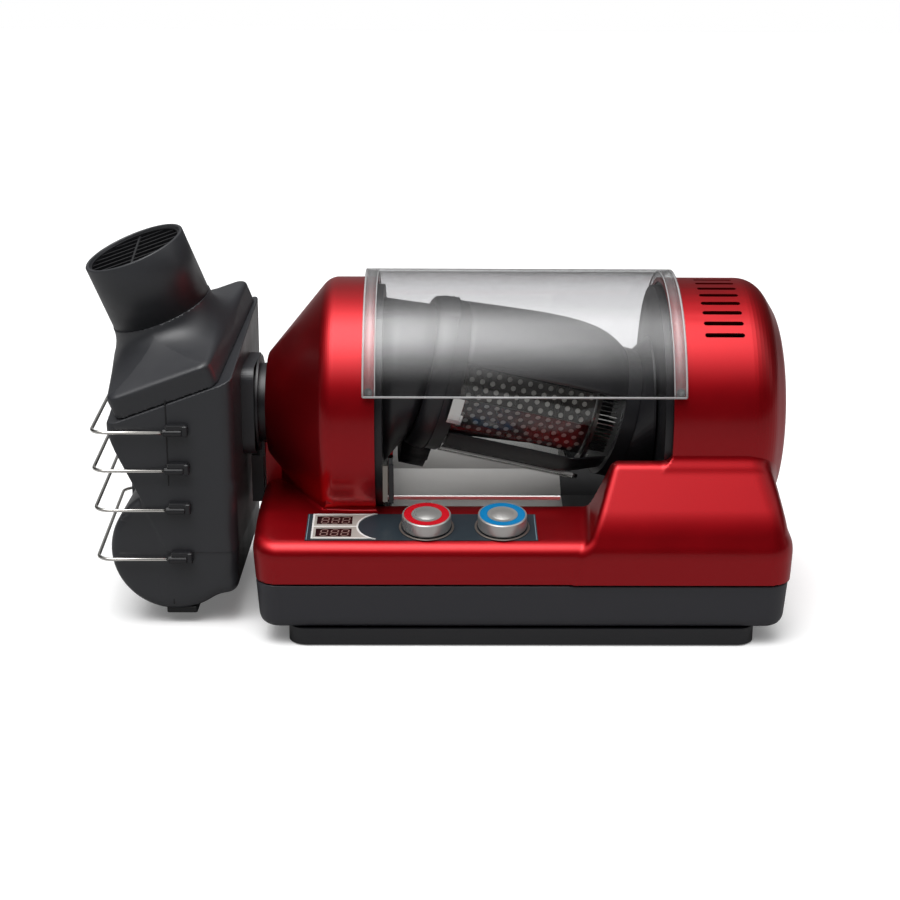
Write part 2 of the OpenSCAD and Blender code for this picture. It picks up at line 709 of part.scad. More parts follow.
module drive_holder() {
    part(dark_c) difference() {
        hull() {
            on_axis() rod(50, rim_x - bulk_t - 3, rim_x - bulk_t - 1.5, $fn = 64);
            chamber_frame() rod(glass_r - 6, glass_x1 + rear_l, glass_x1 + rear_l + 1, $fn = 64);
        }
        on_axis() rod(journal_r - 4, rim_x - 40, rim_x);
    }
}
module drive_journal() {
    part(steel_c) on_axis() pipe(journal_r, journal_r - 4, rim_x - bulk_t - 1.5, rim_x + 34);
}

// ---------- drive ----------
gear_x = rim_x + 9;
wheel_r = gear_m * gear_teeth / 2;
pin_wheel_r = gear_m * pinion_teeth / 2;
drive_a = 47;
centre_d = wheel_r + pin_wheel_r + 0.1;
pin_y = centre_d * cos(drive_a);
pin_z = -centre_d * sin(drive_a);
// Gear outline with straight-flanked teeth, one of them centred on angle 0
function gear_points(teeth) = let (r = gear_m * teeth / 2, p = 360 / teeth)
    [for (i = [0:teeth - 1], q = [[-0.30, -1.2], [-0.13, 0.95], [0.13, 0.95], [0.30, -1.2]])
        (r + q[1] * gear_m) * [cos((i + q[0]) * p), sin((i + q[0]) * p)]];
module drum_gear() {
    part("#8f8b80") on_axis() translate([gear_x, 0, 0]) rotate([90, 0, 90])
        rotate([0, 0, -drive_a]) linear_extrude(gear_t) difference() {
            polygon(gear_points(gear_teeth));
            circle(journal_r);
            for (a = [0:60:300]) rotate(a + 30) translate([wheel_r * 0.68, 0]) circle(6, $fn = 32);
        }
}
module pinion_centre() { translate([0, pin_y, axis_z + pin_z]) children(); }
module drive_pinion() {
    part("#b08d3c") pinion_centre() {
        translate([gear_x - 0.5, 0, 0]) rotate([90, 0, 90])
            rotate([0, 0, 180 - drive_a + 180 / pinion_teeth]) linear_extrude(gear_t + 1)
                polygon(gear_points(pinion_teeth));
        rod(3, gear_x + gear_t, gear_x + gear_t + 14);
    }
}
bracket_x = gear_x + gear_t + 3;
motor_r = 22;
motor_l = half_w - bracket_x - 22;
module motor_bracket() {
    part(steel_c) pinion_centre() {
        difference() {
            rod(motor_r + 6, bracket_x, bracket_x + 2);
            rod(5, bracket_x - 1, bracket_x + 4);
        }
        for (a = [-70, -25, 20]) rotate([-drive_a + a, 0, 0]) translate([0, motor_r + 2, 0])
            rod(3, rim_x + 4, bracket_x);
    }
}
module drum_motor() {
    part("#6f7276") pinion_centre() difference() {
        union() {
            rod(motor_r, bracket_x + 2, bracket_x + 2 + motor_l / 3);
            rod(motor_r - 5, bracket_x + 2 + motor_l / 3, bracket_x + motor_l);
        }
        rod(3 + run_c, bracket_x - 1, bracket_x + 14);
    }
}

// ---------- air path ----------
module exhaust_duct() {
    part(steel_c) on_axis() {
        pipe(bearing_r - 3, bearing_r - 4.5, -half_w + 6, -rim_x - 8);
        pipe(bearing_r + 3, bearing_r - 4.5, -rim_x - 8, -rim_x - 7);
    }
}
port_x = -half_w - 8;
module port_frame() {
    part(dark_c) difference() {
        union() {
            on_axis() rod(port_r - gap, port_x - 8, -half_w + 5.8);
            on_axis() rod(port_r + 6, -half_w - 2.5, -half_w - 1);
            box(port_x - 1, -half_w - gap, -12, 12, axis_z - 74, axis_z - 38);
            box(-half_w - 2.5, -half_w + 1.2, -12, 12, axis_z - 38, axis_z - 20);
        }
        on_axis() rod(port_r - 3, port_x - 10, -half_w + 8);
    }
}
heater_r = 30;
coil_pitch = 5;
coil_n = floor((half_w - rim_x - 56) / coil_pitch);
module heater_duct() {
    part(steel_c) on_axis() pipe(heater_r, heater_r - 1.5, rim_x + 36, half_w - 12);
}
module heater_coil() {
    part("#8a5a3c") on_axis() {
        for (k = [0:coil_n - 1]) translate([rim_x + 42 + k * coil_pitch, 0, 0]) rotate([0, 90, 0])
            rotate_extrude() translate([heater_r - 6, 0]) circle(1.4, $fn = 16);
        for (a = [45, 225]) rotate([a, 0, 0]) translate([0, 0, heater_r - 4.4])
            rotate([0, 90, 0]) translate([0, 0, rim_x + 38])
                cylinder(r = 2.6, h = half_w - rim_x - 52, $fn = 24);
    }
}
fan_x = half_w - 58;
fan_y = 6;
fan_r = 30;
fan_z0 = tub_z + floor_t;
duct_x0 = fan_x + 22;
duct_x1 = fan_x + 40;
module blower_housing() {
    part(black_c) difference() {
        union() {
            translate([fan_x, fan_y, fan_z0]) cylinder(r = fan_r + 10, h = part_z - fan_z0 - 2);
            box(duct_x0, duct_x1, fan_y - 11, fan_y + 11, part_z - 8, axis_z - 24);
        }
        translate([fan_x, fan_y, fan_z0 + 2]) cylinder(r = fan_r + 7.5, h = part_z - fan_z0 - 6);
        translate([fan_x, fan_y, fan_z0 - 1]) cylinder(r = 18, h = 5);
        translate([fan_x, fan_y, part_z - 6]) cylinder(r = 4, h = 10);
        box(duct_x0 + 2, duct_x1 - 2, fan_y - 9, fan_y + 9, part_z - 10, axis_z);
        on_axis() rod(heater_r + gap, rim_x, half_w);
    }
}
blower_h = axis_z - bay_r - part_z + 1;
module blower_motor() {
    part("#6f7276") translate([fan_x, fan_y, part_z - 2]) difference() {
        cylinder(r = 16, h = blower_h);
        translate([0, 0, -1]) cylinder(r = 2 + run_c, h = blower_h - 2);
    }
}
module blower_impeller() {
    part("#3a3c40") translate([fan_x, fan_y, 0]) {
        translate([0, 0, fan_z0 + 18]) cylinder(r = fan_r, h = 2);
        for (a = [0:20:340]) rotate(a) translate([fan_r - 10, -0.6, fan_z0 + 4]) cube([9.5, 1.2, 15]);
        translate([0, 0, fan_z0 + 12]) cylinder(r = 2, h = part_z - fan_z0 + blower_h - 18);
    }
}

// ---------- cover ----------
pin_r = 2.5;
hinge_y = cover_r + 1;
hinge_z = axis_z - 7;
module hinge_brackets() {
    part(dark_c) for (s = [-1, 1]) difference() {
        translate([s * (cover_x + 3.5), 0, 0]) {
            translate([-2.8, hinge_y, hinge_z]) rotate([0, 90, 0]) cylinder(r = 5, h = 5.6);
            box(-2.8, 2.8, tower_r - 6, hinge_y, hinge_z - 5, hinge_z + 5);
        }
        on_axis() rod(tower_r + 0.1, -half_w, half_w);
        translate([0, hinge_y, hinge_z]) rod(pin_r + run_c, -half_w, half_w);
    }
}
module cover_shell() {
    part([0.85, 0.87, 0.88, 0.3]) on_axis() difference() {
        pipe(cover_r, cover_r - cover_t, -cover_x, cover_x, $fn = 128);
        rotate([90, 0, 90]) translate([0, 0, -cover_x - 1]) linear_extrude(2 * cover_x + 2)
            polygon([[0, 0], 200 * [-cos(cover_a), sin(cover_a)], [-200, -200], [200, -200], [200, 0]]);
    }
}
module cover_bumpers() {
    part(dark_c) on_axis() for (x = [-cover_x + 4.5, cover_x - 4.5])
        rotate([90 - cover_a - 2.2, 0, 0]) translate([x, 0, tower_r + gap])
            cylinder(r = 3, h = cover_r - cover_t - tower_r - gap - 0.1);
}
module hinge_knuckles() {
    part(dark_c) for (s = [-1, 1]) {
        difference() {
            translate([s * (cover_x - 3.2) - 3, 0, 0]) {
                translate([0, hinge_y, hinge_z]) rotate([0, 90, 0]) cylinder(r = 5, h = 6);
                box(0, 6, cover_r - cover_t, hinge_y + 2, hinge_z, axis_z);
            }
            on_axis() rod(tower_r + 2, -half_w, half_w);
        }
        translate([s * (cover_x + 3) - 3.2, hinge_y, hinge_z]) rod(pin_r, -0.3, 6.7);
    }
}

// ---------- chaff collector ----------
lobe_x = coll_x + 1;
lobe_z = 57;
half_d = 70;
// Frame on the slanting joint between the collector and its cap
module cap_frame() { translate([coll_x, 0, cap_z]) rotate([cap_nod, -cap_lean, 0]) children(); }
module upright(x, y, r) { translate([x, y, lobe_z]) cylinder(r = r, h = cap_z + 10, $fn = 40); }
coll_right = -half_w - 11.5;
module collector_form(i = 0) {
    difference() {
        hull() {
            upright(coll_x - 31, -half_d, 9 - i);
            upright(coll_right - 16, -half_d + 2, 11 - i);
            upright(coll_right - 9, half_d, 9 - i);
            upright(coll_x - 36, half_d, 9 - i);
        }
        translate([0, 16 + i, 0]) rotate([90, 0, 0]) linear_extrude(half_d + 50) polygon([
            [coll_x - 60, cap_z - 20], [coll_x - 43 + i, cap_z - 36], [coll_x - 17 + i, lobe_z + 34],
            [coll_x - 26 + i, lobe_z + 3], [coll_x - 60, lobe_z - 7]]);
        cap_frame() translate([-far / 2, -far / 2, -i]) cube(far);
    }
    translate([lobe_x, -half_d - 8.7 + i, lobe_z]) rotate([-90, 0, 0]) {
        cylinder(r1 = lobe_r - 6 - i, r2 = lobe_r - i, h = 8, $fn = 56);
        translate([0, 0, 8]) cylinder(r = lobe_r - i, h = 2 * half_d + 4 - 2 * i, $fn = 56);
        translate([0, 0, 2 * half_d + 12 - 2 * i])
            cylinder(r1 = lobe_r - i, r2 = lobe_r - 5 - i, h = 5, $fn = 56);
    }
    hull() {
        for (y = [-half_d, half_d]) translate([coll_right - 12, y, 34]) sphere(r = 9 - i, $fn = 24);
        translate([lobe_x, -half_d + i, lobe_z]) rotate([-90, 0, 0])
            cylinder(r = lobe_r - 1 - i, h = 2 * half_d - 2 * i, $fn = 56);
    }
}
module collector_walls() {
    difference() {
        collector_form();
        collector_form(coll_t);
        on_axis() rod(port_r + gap, coll_x + 10, -half_w + 40);
    }
}
seam_x = coll_x;
module collector_outer_shell() {
    part(black_c) intersection() {
        collector_walls();
        box(-far, seam_x - 0.15, -far, far, -far, far);
    }
}
module collector_inner_shell() {
    part(black_c) intersection() {
        collector_walls();
        box(seam_x + 0.15, 0, -far, far, -far, far);
    }
}
wire_x = coll_x - 59;
wire_z = [cap_z - 34, cap_z - 62, lobe_z + 31.8, lobe_z - 5];
wire_y = half_d + 14;
bend_r = 10;
bend_x = wire_x + bend_r;
bend_y = wire_y - bend_r;
module wire_rod(h) { cylinder(r = wire_r, h = h, $fn = 24); }
module wire_loop(z) {
    for (s = [-1, 1]) {
        translate([bend_x, s * wire_y, z]) rotate([0, 90, 0]) wire_rod(seam_x - bend_x);
        translate([bend_x, s * bend_y, z]) intersection() {
            rotate_extrude($fn = 48) translate([bend_r, 0]) circle(wire_r, $fn = 24);
            translate([-2 * bend_r, s > 0 ? 0 : -2 * bend_r, -2 * wire_r])
                cube([2 * bend_r, 2 * bend_r, 4 * wire_r]);
        }
    }
    translate([wire_x, -bend_y, z]) rotate([-90, 0, 0]) wire_rod(2 * bend_y);
}
module wire_guards() { part("#c9c5bd") for (z = wire_z) wire_loop(z); }
module wire_clips() {
    part(dark_c) for (z = wire_z, s = [-1, 1]) difference() {
        translate([seam_x - 2, s > 0 ? half_d + 9.1 : -half_d - 16.4, z - 4]) cube([12, 7.3, 8]);
        translate([seam_x - 20, s * wire_y, z]) rotate([0, 90, 0]) wire_rod(20);
    }
}
lip_h = 17;
module cap_corner(u, v, r, w, h) { translate([u, v, w]) cylinder(r = r, h = h, $fn = 32); }
module cap_form(i = 0) {
    hull() {
        for (p = [[-34, -72], [24, -72], [46, 66], [-42, 66]]) {
            cap_corner(p[0], p[1], 9 - i, i > 0 ? -1 : 0.2, lip_h - 3);
            cap_corner(p[0], p[1], 7 - i, lip_h - 3, 2.4);
        }
        translate([tube_u, tube_v, 40]) cylinder(r = tube_r + 2 - i, h = 2 - i / 4);
    }
}
module collector_cap() {
    part(black_c) cap_frame() difference() {
        union() {
            cap_form();
            translate([tube_u, tube_v, 30]) cylinder(r = tube_r, h = tube_h - 30);
        }
        cap_form(coll_t);
        translate([tube_u, tube_v, 10]) cylinder(r = tube_r - tube_t, h = tube_h);
    }
}
net_w = 46;
module dust_net() {
    r = tube_r - tube_t - 0.1;
    part(steel_c) cap_frame() translate([tube_u, tube_v, net_w]) {
        difference() {
            cylinder(r = r, h = 1.6);
            translate([0, 0, -1]) cylinder(r = r - 3, h = 4);
        }
        for (i = [-4:4]) intersection() {
            translate([-r, i * 6.5 - 0.6, 0]) cube([2 * r, 1.2, 1.2]);
            cylinder(r = r - 2, h = 2);
        }
    }
}
module outlet_grille() {
    r = tube_r - tube_t - 0.1;
    part(dark_c) cap_frame() translate([tube_u, tube_v, tube_h - 7]) {
        difference() {
            cylinder(r = r, h = 5);
            translate([0, 0, -1]) cylinder(r = r - 1.6, h = 8);
        }
        intersection() {
            cylinder(r = r - 1, h = 5);
            union() {
                for (k = [-3:3]) translate([-r - 2, k * r / 3.8 - 0.8, 0]) cube([2 * r + 4, 1.6, 4]);
                rotate(90) translate([-r - 2, -0.8, 0]) cube([2 * r + 4, 1.6, 4]);
            }
        }
    }
}

bottom_plate();
rubber_feet();
base_tray();
upper_housing();
left_tower();
right_tower();
left_bulkhead();
right_bulkhead();
bay_liner();
reflector_plate();
bay_side_strips();
control_panel();
display_module();
control_board();
left_bearing();
right_bearing();
exhaust_duct();
port_frame();
drum_motor();
motor_bracket();
heater_duct();
heater_coil();
blower_housing();
blower_motor();
rear_vent_panel();
cord_inlet();
housing_screws();
hinge_brackets();
exhaust_holder();
exhaust_journal();
front_collar();
chamber_glass();
chamber_shell();
perforated_screen();
mixing_vanes();
sight_band();
chamber_handle();
latch_tab();
rear_collar();
drive_holder();
drive_journal();
drum_gear();
drive_pinion();
blower_impeller();
cover_shell();
cover_bumpers();
hinge_knuckles();
temp_shaft();
temp_knob();
temp_ring();
time_shaft();
time_knob();
time_ring();
collector_outer_shell();
collector_inner_shell();
wire_guards();
wire_clips();
dust_net();
collector_cap();
outlet_grille();
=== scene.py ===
import bpy
import math
import numpy as np
from mathutils import Matrix, Vector


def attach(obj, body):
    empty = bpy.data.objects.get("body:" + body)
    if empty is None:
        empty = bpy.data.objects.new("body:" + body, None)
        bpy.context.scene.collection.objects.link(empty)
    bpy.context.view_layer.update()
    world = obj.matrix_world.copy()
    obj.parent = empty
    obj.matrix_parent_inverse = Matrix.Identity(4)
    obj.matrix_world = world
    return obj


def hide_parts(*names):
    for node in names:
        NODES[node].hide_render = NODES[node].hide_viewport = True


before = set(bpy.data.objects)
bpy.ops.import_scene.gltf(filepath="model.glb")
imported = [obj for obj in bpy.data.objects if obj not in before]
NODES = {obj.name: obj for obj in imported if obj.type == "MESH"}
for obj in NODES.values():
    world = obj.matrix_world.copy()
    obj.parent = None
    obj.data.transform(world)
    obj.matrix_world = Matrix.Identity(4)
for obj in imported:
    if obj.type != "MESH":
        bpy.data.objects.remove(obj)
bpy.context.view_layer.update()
# Shift from the model's drawing frame (turning axis at x = 0, y = 0) to the record's frame, metres
SX, SY = 0.06217, 0.0084


# ---------- material helpers ----------
def new_mat(name):
    m = bpy.data.materials.new(name)
    m.use_nodes = True
    nt = m.node_tree
    return m, nt, nt.nodes["Principled BSDF"]


def node(nt, kind, **kw):
    n = nt.nodes.new(kind)
    for k, v in kw.items():
        if k in n.inputs:
            n.inputs[k].default_value = v
        else:
            setattr(n, k, v)
    return n


def map_range(nt, source, from_lo, from_hi, to_lo, to_hi):
    """Map Range node fed by a socket; gives its result socket."""
    n = node(nt, "ShaderNodeMapRange")
    n.inputs["From Min"].default_value = from_lo
    n.inputs["From Max"].default_value = from_hi
    n.inputs["To Min"].default_value = to_lo
    n.inputs["To Max"].default_value = to_hi
    nt.links.new(source, n.inputs["Value"])
    return n.outputs["Result"]


def colour_mix(nt, factor, low, high):
    """Blend between two colours by a socket; gives its result socket."""
    n = node(nt, "ShaderNodeMix", data_type="RGBA")
    n.inputs["A"].default_value = (*low, 1)
    n.inputs["B"].default_value = (*high, 1)
    nt.links.new(factor, n.inputs["Factor"])
    return n.outputs["Result"]


def shader_mix(nt, factor, low, high):
    """Blend between two shaders by a socket; gives its result socket."""
    n = node(nt, "ShaderNodeMixShader")
    nt.links.new(factor, n.inputs[0])
    nt.links.new(low, n.inputs[1])
    nt.links.new(high, n.inputs[2])
    return n.outputs[0]


def bump(nt, bsdf, height, strength, distance):
    n = node(nt, "ShaderNodeBump", Strength=strength, Distance=distance)
    nt.links.new(height, n.inputs["Height"])
    nt.links.new(n.outputs["Normal"], bsdf.inputs["Normal"])


def plastic(name, colour, rough, bump_scale=900, strength=0.25, dist=0.00004, amp=0.05, coat=0.0,
            metallic=0.0, tone=0.06):
    """Fine bump, roughness change and slight tone change from object-space noise."""
    m, nt, b = new_mat(name)
    b.inputs["Metallic"].default_value = metallic
    b.inputs["Specular IOR Level"].default_value = 0.5
    b.inputs["Coat Weight"].default_value = coat
    b.inputs["Coat Roughness"].default_value = 0.2
    tc = node(nt, "ShaderNodeTexCoord")
    fine = node(nt, "ShaderNodeTexNoise", Scale=bump_scale, Detail=4.0, Roughness=0.6)
    nt.links.new(tc.outputs["Object"], fine.inputs["Vector"])
    bump(nt, b, fine.outputs["Fac"], strength, dist)
    wide = node(nt, "ShaderNodeTexNoise", Scale=26.0, Detail=5.0, Roughness=0.65)
    nt.links.new(tc.outputs["Object"], wide.inputs["Vector"])
    gloss = map_range(nt, wide.outputs["Fac"], 0.3, 0.7, rough - amp, rough + amp)
    nt.links.new(gloss, b.inputs["Roughness"])
    darker = [c * (1 - tone) for c in colour]
    lighter = [c * (1 + tone) for c in colour]
    nt.links.new(colour_mix(nt, wide.outputs["Fac"], darker, lighter), b.inputs["Base Color"])
    return m


def steel(name, colour, rough, stretch=(40, 1, 1), aniso=0.5, strength=0.08):
    """Metal with brushed noise, drawn out along the axes that stretch leaves small."""
    m, nt, b = new_mat(name)
    b.inputs["Metallic"].default_value = 1.0
    b.inputs["Anisotropic"].default_value = aniso
    tc = node(nt, "ShaderNodeTexCoord")
    mapping = node(nt, "ShaderNodeMapping", Scale=stretch)
    brushed = node(nt, "ShaderNodeTexNoise", Scale=60.0, Detail=6.0, Roughness=0.6)
    nt.links.new(tc.outputs["Object"], mapping.inputs["Vector"])
    nt.links.new(mapping.outputs["Vector"], brushed.inputs["Vector"])
    fac = brushed.outputs["Fac"]
    nt.links.new(map_range(nt, fac, 0.0, 1.0, max(rough - 0.08, 0.02), rough + 0.1), b.inputs["Roughness"])
    nt.links.new(colour_mix(nt, fac, [c * 0.92 for c in colour], colour), b.inputs["Base Color"])
    bump(nt, b, fac, strength, 0.00005)
    return m


def clear(name, tint, gloss_rough, normal_sheen, haze, rear=None):
    """Thin clear sheet whose sheen grows towards a grazing view; rear is the tint of its back half, given
    darker than tint as painted shade on what is seen through it.
    """
    m = bpy.data.materials.new(name)
    m.use_nodes = True
    nt = m.node_tree
    nt.nodes.clear()
    out = node(nt, "ShaderNodeOutputMaterial")
    through = node(nt, "ShaderNodeBsdfTransparent", Color=(*tint, 1))
    gloss = node(nt, "ShaderNodeBsdfGlossy", Color=(1, 1, 1, 1), Roughness=gloss_rough)
    dust = node(nt, "ShaderNodeBsdfDiffuse", Color=(0.8, 0.8, 0.8, 1))
    view = node(nt, "ShaderNodeLayerWeight", Blend=0.5)
    fifth = node(nt, "ShaderNodeMath", operation="POWER")
    fifth.inputs[1].default_value = 5.0
    nt.links.new(view.outputs["Facing"], fifth.inputs[0])
    sheen = node(nt, "ShaderNodeMath", operation="MULTIPLY_ADD")
    sheen.inputs[1].default_value = 1.0 - normal_sheen
    sheen.inputs[2].default_value = normal_sheen
    nt.links.new(fifth.outputs[0], sheen.inputs[0])
    tc = node(nt, "ShaderNodeTexCoord")
    cloudy = node(nt, "ShaderNodeTexNoise", Scale=18.0, Detail=6.0, Roughness=0.7)
    nt.links.new(tc.outputs["Object"], cloudy.inputs["Vector"])
    dustiness = map_range(nt, cloudy.outputs["Fac"], 0.35, 0.75, haze * 0.4, haze * 1.4)
    # the back half takes the rear tint: painted shade on what shows through it
    if rear is not None:
        sep = node(nt, "ShaderNodeSeparateXYZ")
        nt.links.new(tc.outputs["Object"], sep.inputs["Vector"])
        shaded_back_half = map_range(nt, sep.outputs["Y"], -0.03, 0.03, 0.0, 1.0)
        nt.links.new(colour_mix(nt, shaded_back_half, tint, rear), through.inputs["Color"])
    sheet = shader_mix(nt, dustiness, through.outputs[0], dust.outputs[0])
    nt.links.new(shader_mix(nt, sheen.outputs[0], sheet, gloss.outputs[0]), out.inputs["Surface"])
    return m


RED = plastic("red_paint", (0.40, 0.004, 0.009), 0.46, 2600, 0.12, 0.00002, 0.03, coat=0.45, metallic=1.0,
              tone=0.05)
CHARCOAL = plastic("charcoal_plastic", (0.026, 0.026, 0.032), 0.46, 1500, 0.35, 0.00006, 0.05)
COLLECTOR = plastic("collector_plastic", (0.030, 0.031, 0.035), 0.40, 1100, 0.45, 0.00008, 0.07)
BLACK = plastic("black_plastic", (0.012, 0.012, 0.014), 0.38, 1200, 0.3, 0.00005, 0.06)
RUBBER = plastic("rubber", (0.012, 0.012, 0.012), 0.75, 900, 0.5, 0.0001, 0.05)
STEEL = steel("bright_steel", (0.72, 0.71, 0.69), 0.22)
WIRE = steel("wire_steel", (0.80, 0.78, 0.74), 0.14, (1, 1, 1), 0.0, 0.03)
MOTOR = steel("motor_steel", (0.45, 0.45, 0.46), 0.4)
BRASS = steel("brass", (0.66, 0.48, 0.2), 0.3)
SLATE = plastic("panel_film", (0.020, 0.029, 0.037), 0.34, 700, 0.1, 0.00003, 0.04)
BEIGE = plastic("display_frame", (0.50, 0.47, 0.43), 0.4, 900, 0.12, 0.00003, 0.04, metallic=0.4)
KNOB = plastic("knob_metal", (0.60, 0.59, 0.57), 0.31, 1500, 0.10, 0.00002, 0.05, metallic=0.72)
RING_RED = plastic("ring_red", (0.50, 0.006, 0.014), 0.3, 1200, 0.1, 0.00002, 0.04)
RING_BLUE = plastic("ring_blue", (0.002, 0.17, 0.40), 0.3, 1200, 0.1, 0.00002, 0.04)
BOARD = plastic("board_green", (0.02, 0.12, 0.05), 0.4)
# the darker rear tint paints shade on what is seen through the cover's back half; the front tint is the
# sheet's own grey
COVER = clear("clear_cover", (0.93, 0.93, 0.935), 0.10, 0.036, 0.003, rear=(0.77, 0.77, 0.775))
FROST = clear("cover_band", (0.94, 0.94, 0.94), 0.2, 0.03, 0.17)
GLASS = clear("chamber_glass", (0.92, 0.925, 0.925), 0.03, 0.035, 0.002)
REFLECTOR = plastic("reflector_sheet", (0.84, 0.825, 0.79), 0.34, 500, 0.02, 0.00001, 0.02, metallic=0.2)
TRIM = steel("trim_steel", (0.34, 0.31, 0.28), 0.4, (1, 1, 30), 0.3)
TAUPE = plastic("taupe_ring", (0.16, 0.135, 0.12), 0.4, 900, 0.1, 0.00002, 0.04, metallic=0.5)
RIM_WHITE = plastic("display_rim", (0.80, 0.79, 0.77), 0.35, 900, 0.1, 0.00002, 0.04, metallic=0.2)
SCREEN = steel("screen_sheet", (0.13, 0.12, 0.112), 0.28, (6, 1, 1), 0.2, 0.06)
SHELL = plastic("chamber_shell", (0.020, 0.020, 0.022), 0.36, 1300, 0.06, 0.00002, 0.05)
# pale grey: painted highlight for the clear cover's edges
EDGE = plastic("rim_glint_grey", (0.52, 0.52, 0.52), 0.25, 900, 0.1, 0.00002, 0.05)
SEAM = plastic("seam_black", (0.004, 0.004, 0.005), 0.6, 900, 0.1, 0.00002, 0.05)
WINDOW = plastic("display_window", (0.018, 0.006, 0.007), 0.22, 600, 0.05, 0.00002, 0.03)
DIGIT = plastic("display_digit", (0.20, 0.115, 0.10), 0.5, 900, 0.1, 0.00002, 0.04)
# pale sheet behind the screen's holes: painted reflection that makes the holes look bright
HOLE_GLINT = plastic("hole_glint_sheet", (0.62, 0.60, 0.56), 0.35, 900, 0.1, 0.00002, 0.04, metallic=0.3)
BLUE_LINE = plastic("film_border", (0.16, 0.24, 0.29), 0.4, 900, 0.1, 0.00002, 0.04)

LOOK = {
    "bottom_plate": BLACK, "rubber_feet": RUBBER, "base_tray": CHARCOAL, "upper_housing": RED,
    "left_tower": RED, "right_tower": RED, "left_bulkhead": BLACK, "right_bulkhead": BLACK,
    "bay_liner": BLACK, "reflector_plate": REFLECTOR, "bay_side_strips": TRIM, "control_panel": SLATE,
    "display_module": BEIGE, "control_board": BOARD, "left_bearing": BRASS, "right_bearing": BRASS,
    "exhaust_duct": STEEL, "port_frame": BLACK, "drum_motor": MOTOR, "motor_bracket": STEEL,
    "heater_duct": STEEL, "heater_coil": MOTOR, "blower_housing": BLACK, "blower_motor": MOTOR,
    "rear_vent_panel": BLACK, "cord_inlet": BLACK, "housing_screws": STEEL, "hinge_brackets": BLACK,
    "exhaust_holder": BLACK, "exhaust_journal": STEEL, "front_collar": BLACK, "chamber_glass": GLASS,
    "perforated_screen": SCREEN, "mixing_vanes": STEEL, "sight_band": BLACK, "chamber_handle": STEEL,
    "latch_tab": STEEL, "chamber_shell": SHELL, "rear_collar": BLACK, "drive_holder": BLACK,
    "drive_journal": STEEL, "drum_gear": BRASS, "drive_pinion": BRASS, "blower_impeller": BLACK,
    "cover_shell": COVER, "cover_bumpers": RUBBER, "hinge_knuckles": BLACK,
    "temp_shaft": STEEL, "temp_knob": KNOB, "temp_ring": RING_RED,
    "time_shaft": STEEL, "time_knob": KNOB, "time_ring": RING_BLUE,
    "collector_outer_shell": COLLECTOR, "collector_inner_shell": COLLECTOR, "wire_guards": WIRE,
    "wire_clips": BLACK, "dust_net": STEEL, "collector_cap": COLLECTOR, "outlet_grille": BLACK,
}
for name, mat in LOOK.items():
    if name in NODES:
        ob = NODES[name]
        ob.data.materials.clear()
        ob.data.materials.append(mat)


# ---------- geometry helpers (millimetres, drawing frame) ----------
def smin(a, b, k):
    """Smaller of two fields, blended where they differ by less than k; smax is the larger."""
    h = np.clip(0.5 + 0.5 * (b - a) / k, 0, 1)
    return b + (a - b) * h - k * h * (1 - h)


def smax(a, b, k):
    return -smin(-a, -b, k)


def cut(f, *tools):
    """Field f with the inside of each tool taken away."""
    for tool in tools:
        f = np.maximum(f, -tool)
    return f


def rounded_plan(X, Y, x0, x1, y0, y1, r):
    """Distance to a rectangle with rounded corners."""
    qx = np.abs(X - (x0 + x1) / 2) - (x1 - x0) / 2 + r
    qy = np.abs(Y - (y0 + y1) / 2) - (y1 - y0) / 2 + r
    return np.hypot(np.maximum(qx, 0), np.maximum(qy, 0)) + np.minimum(np.maximum(qx, qy), 0) - r


def mesh_object(name, verts, faces, mat, normals=None):
    """Mesh from millimetres in the drawing frame to metres in the record's frame."""
    me = bpy.data.meshes.new(name)
    v = np.asarray(verts, dtype=np.float64) / 1000.0
    v = v + np.array([SX, SY, 0.0])
    me.from_pydata(v.tolist(), [], [tuple(int(i) for i in f) for f in faces])
    me.materials.append(mat)
    me.polygons.foreach_set("use_smooth", np.ones(len(me.polygons), dtype=bool))
    if normals is not None:
        me.normals_split_custom_set_from_vertices(np.asarray(normals).tolist())
    me.update()
    ob = bpy.data.objects.new(name, me)
    bpy.context.scene.collection.objects.link(ob)
    return ob


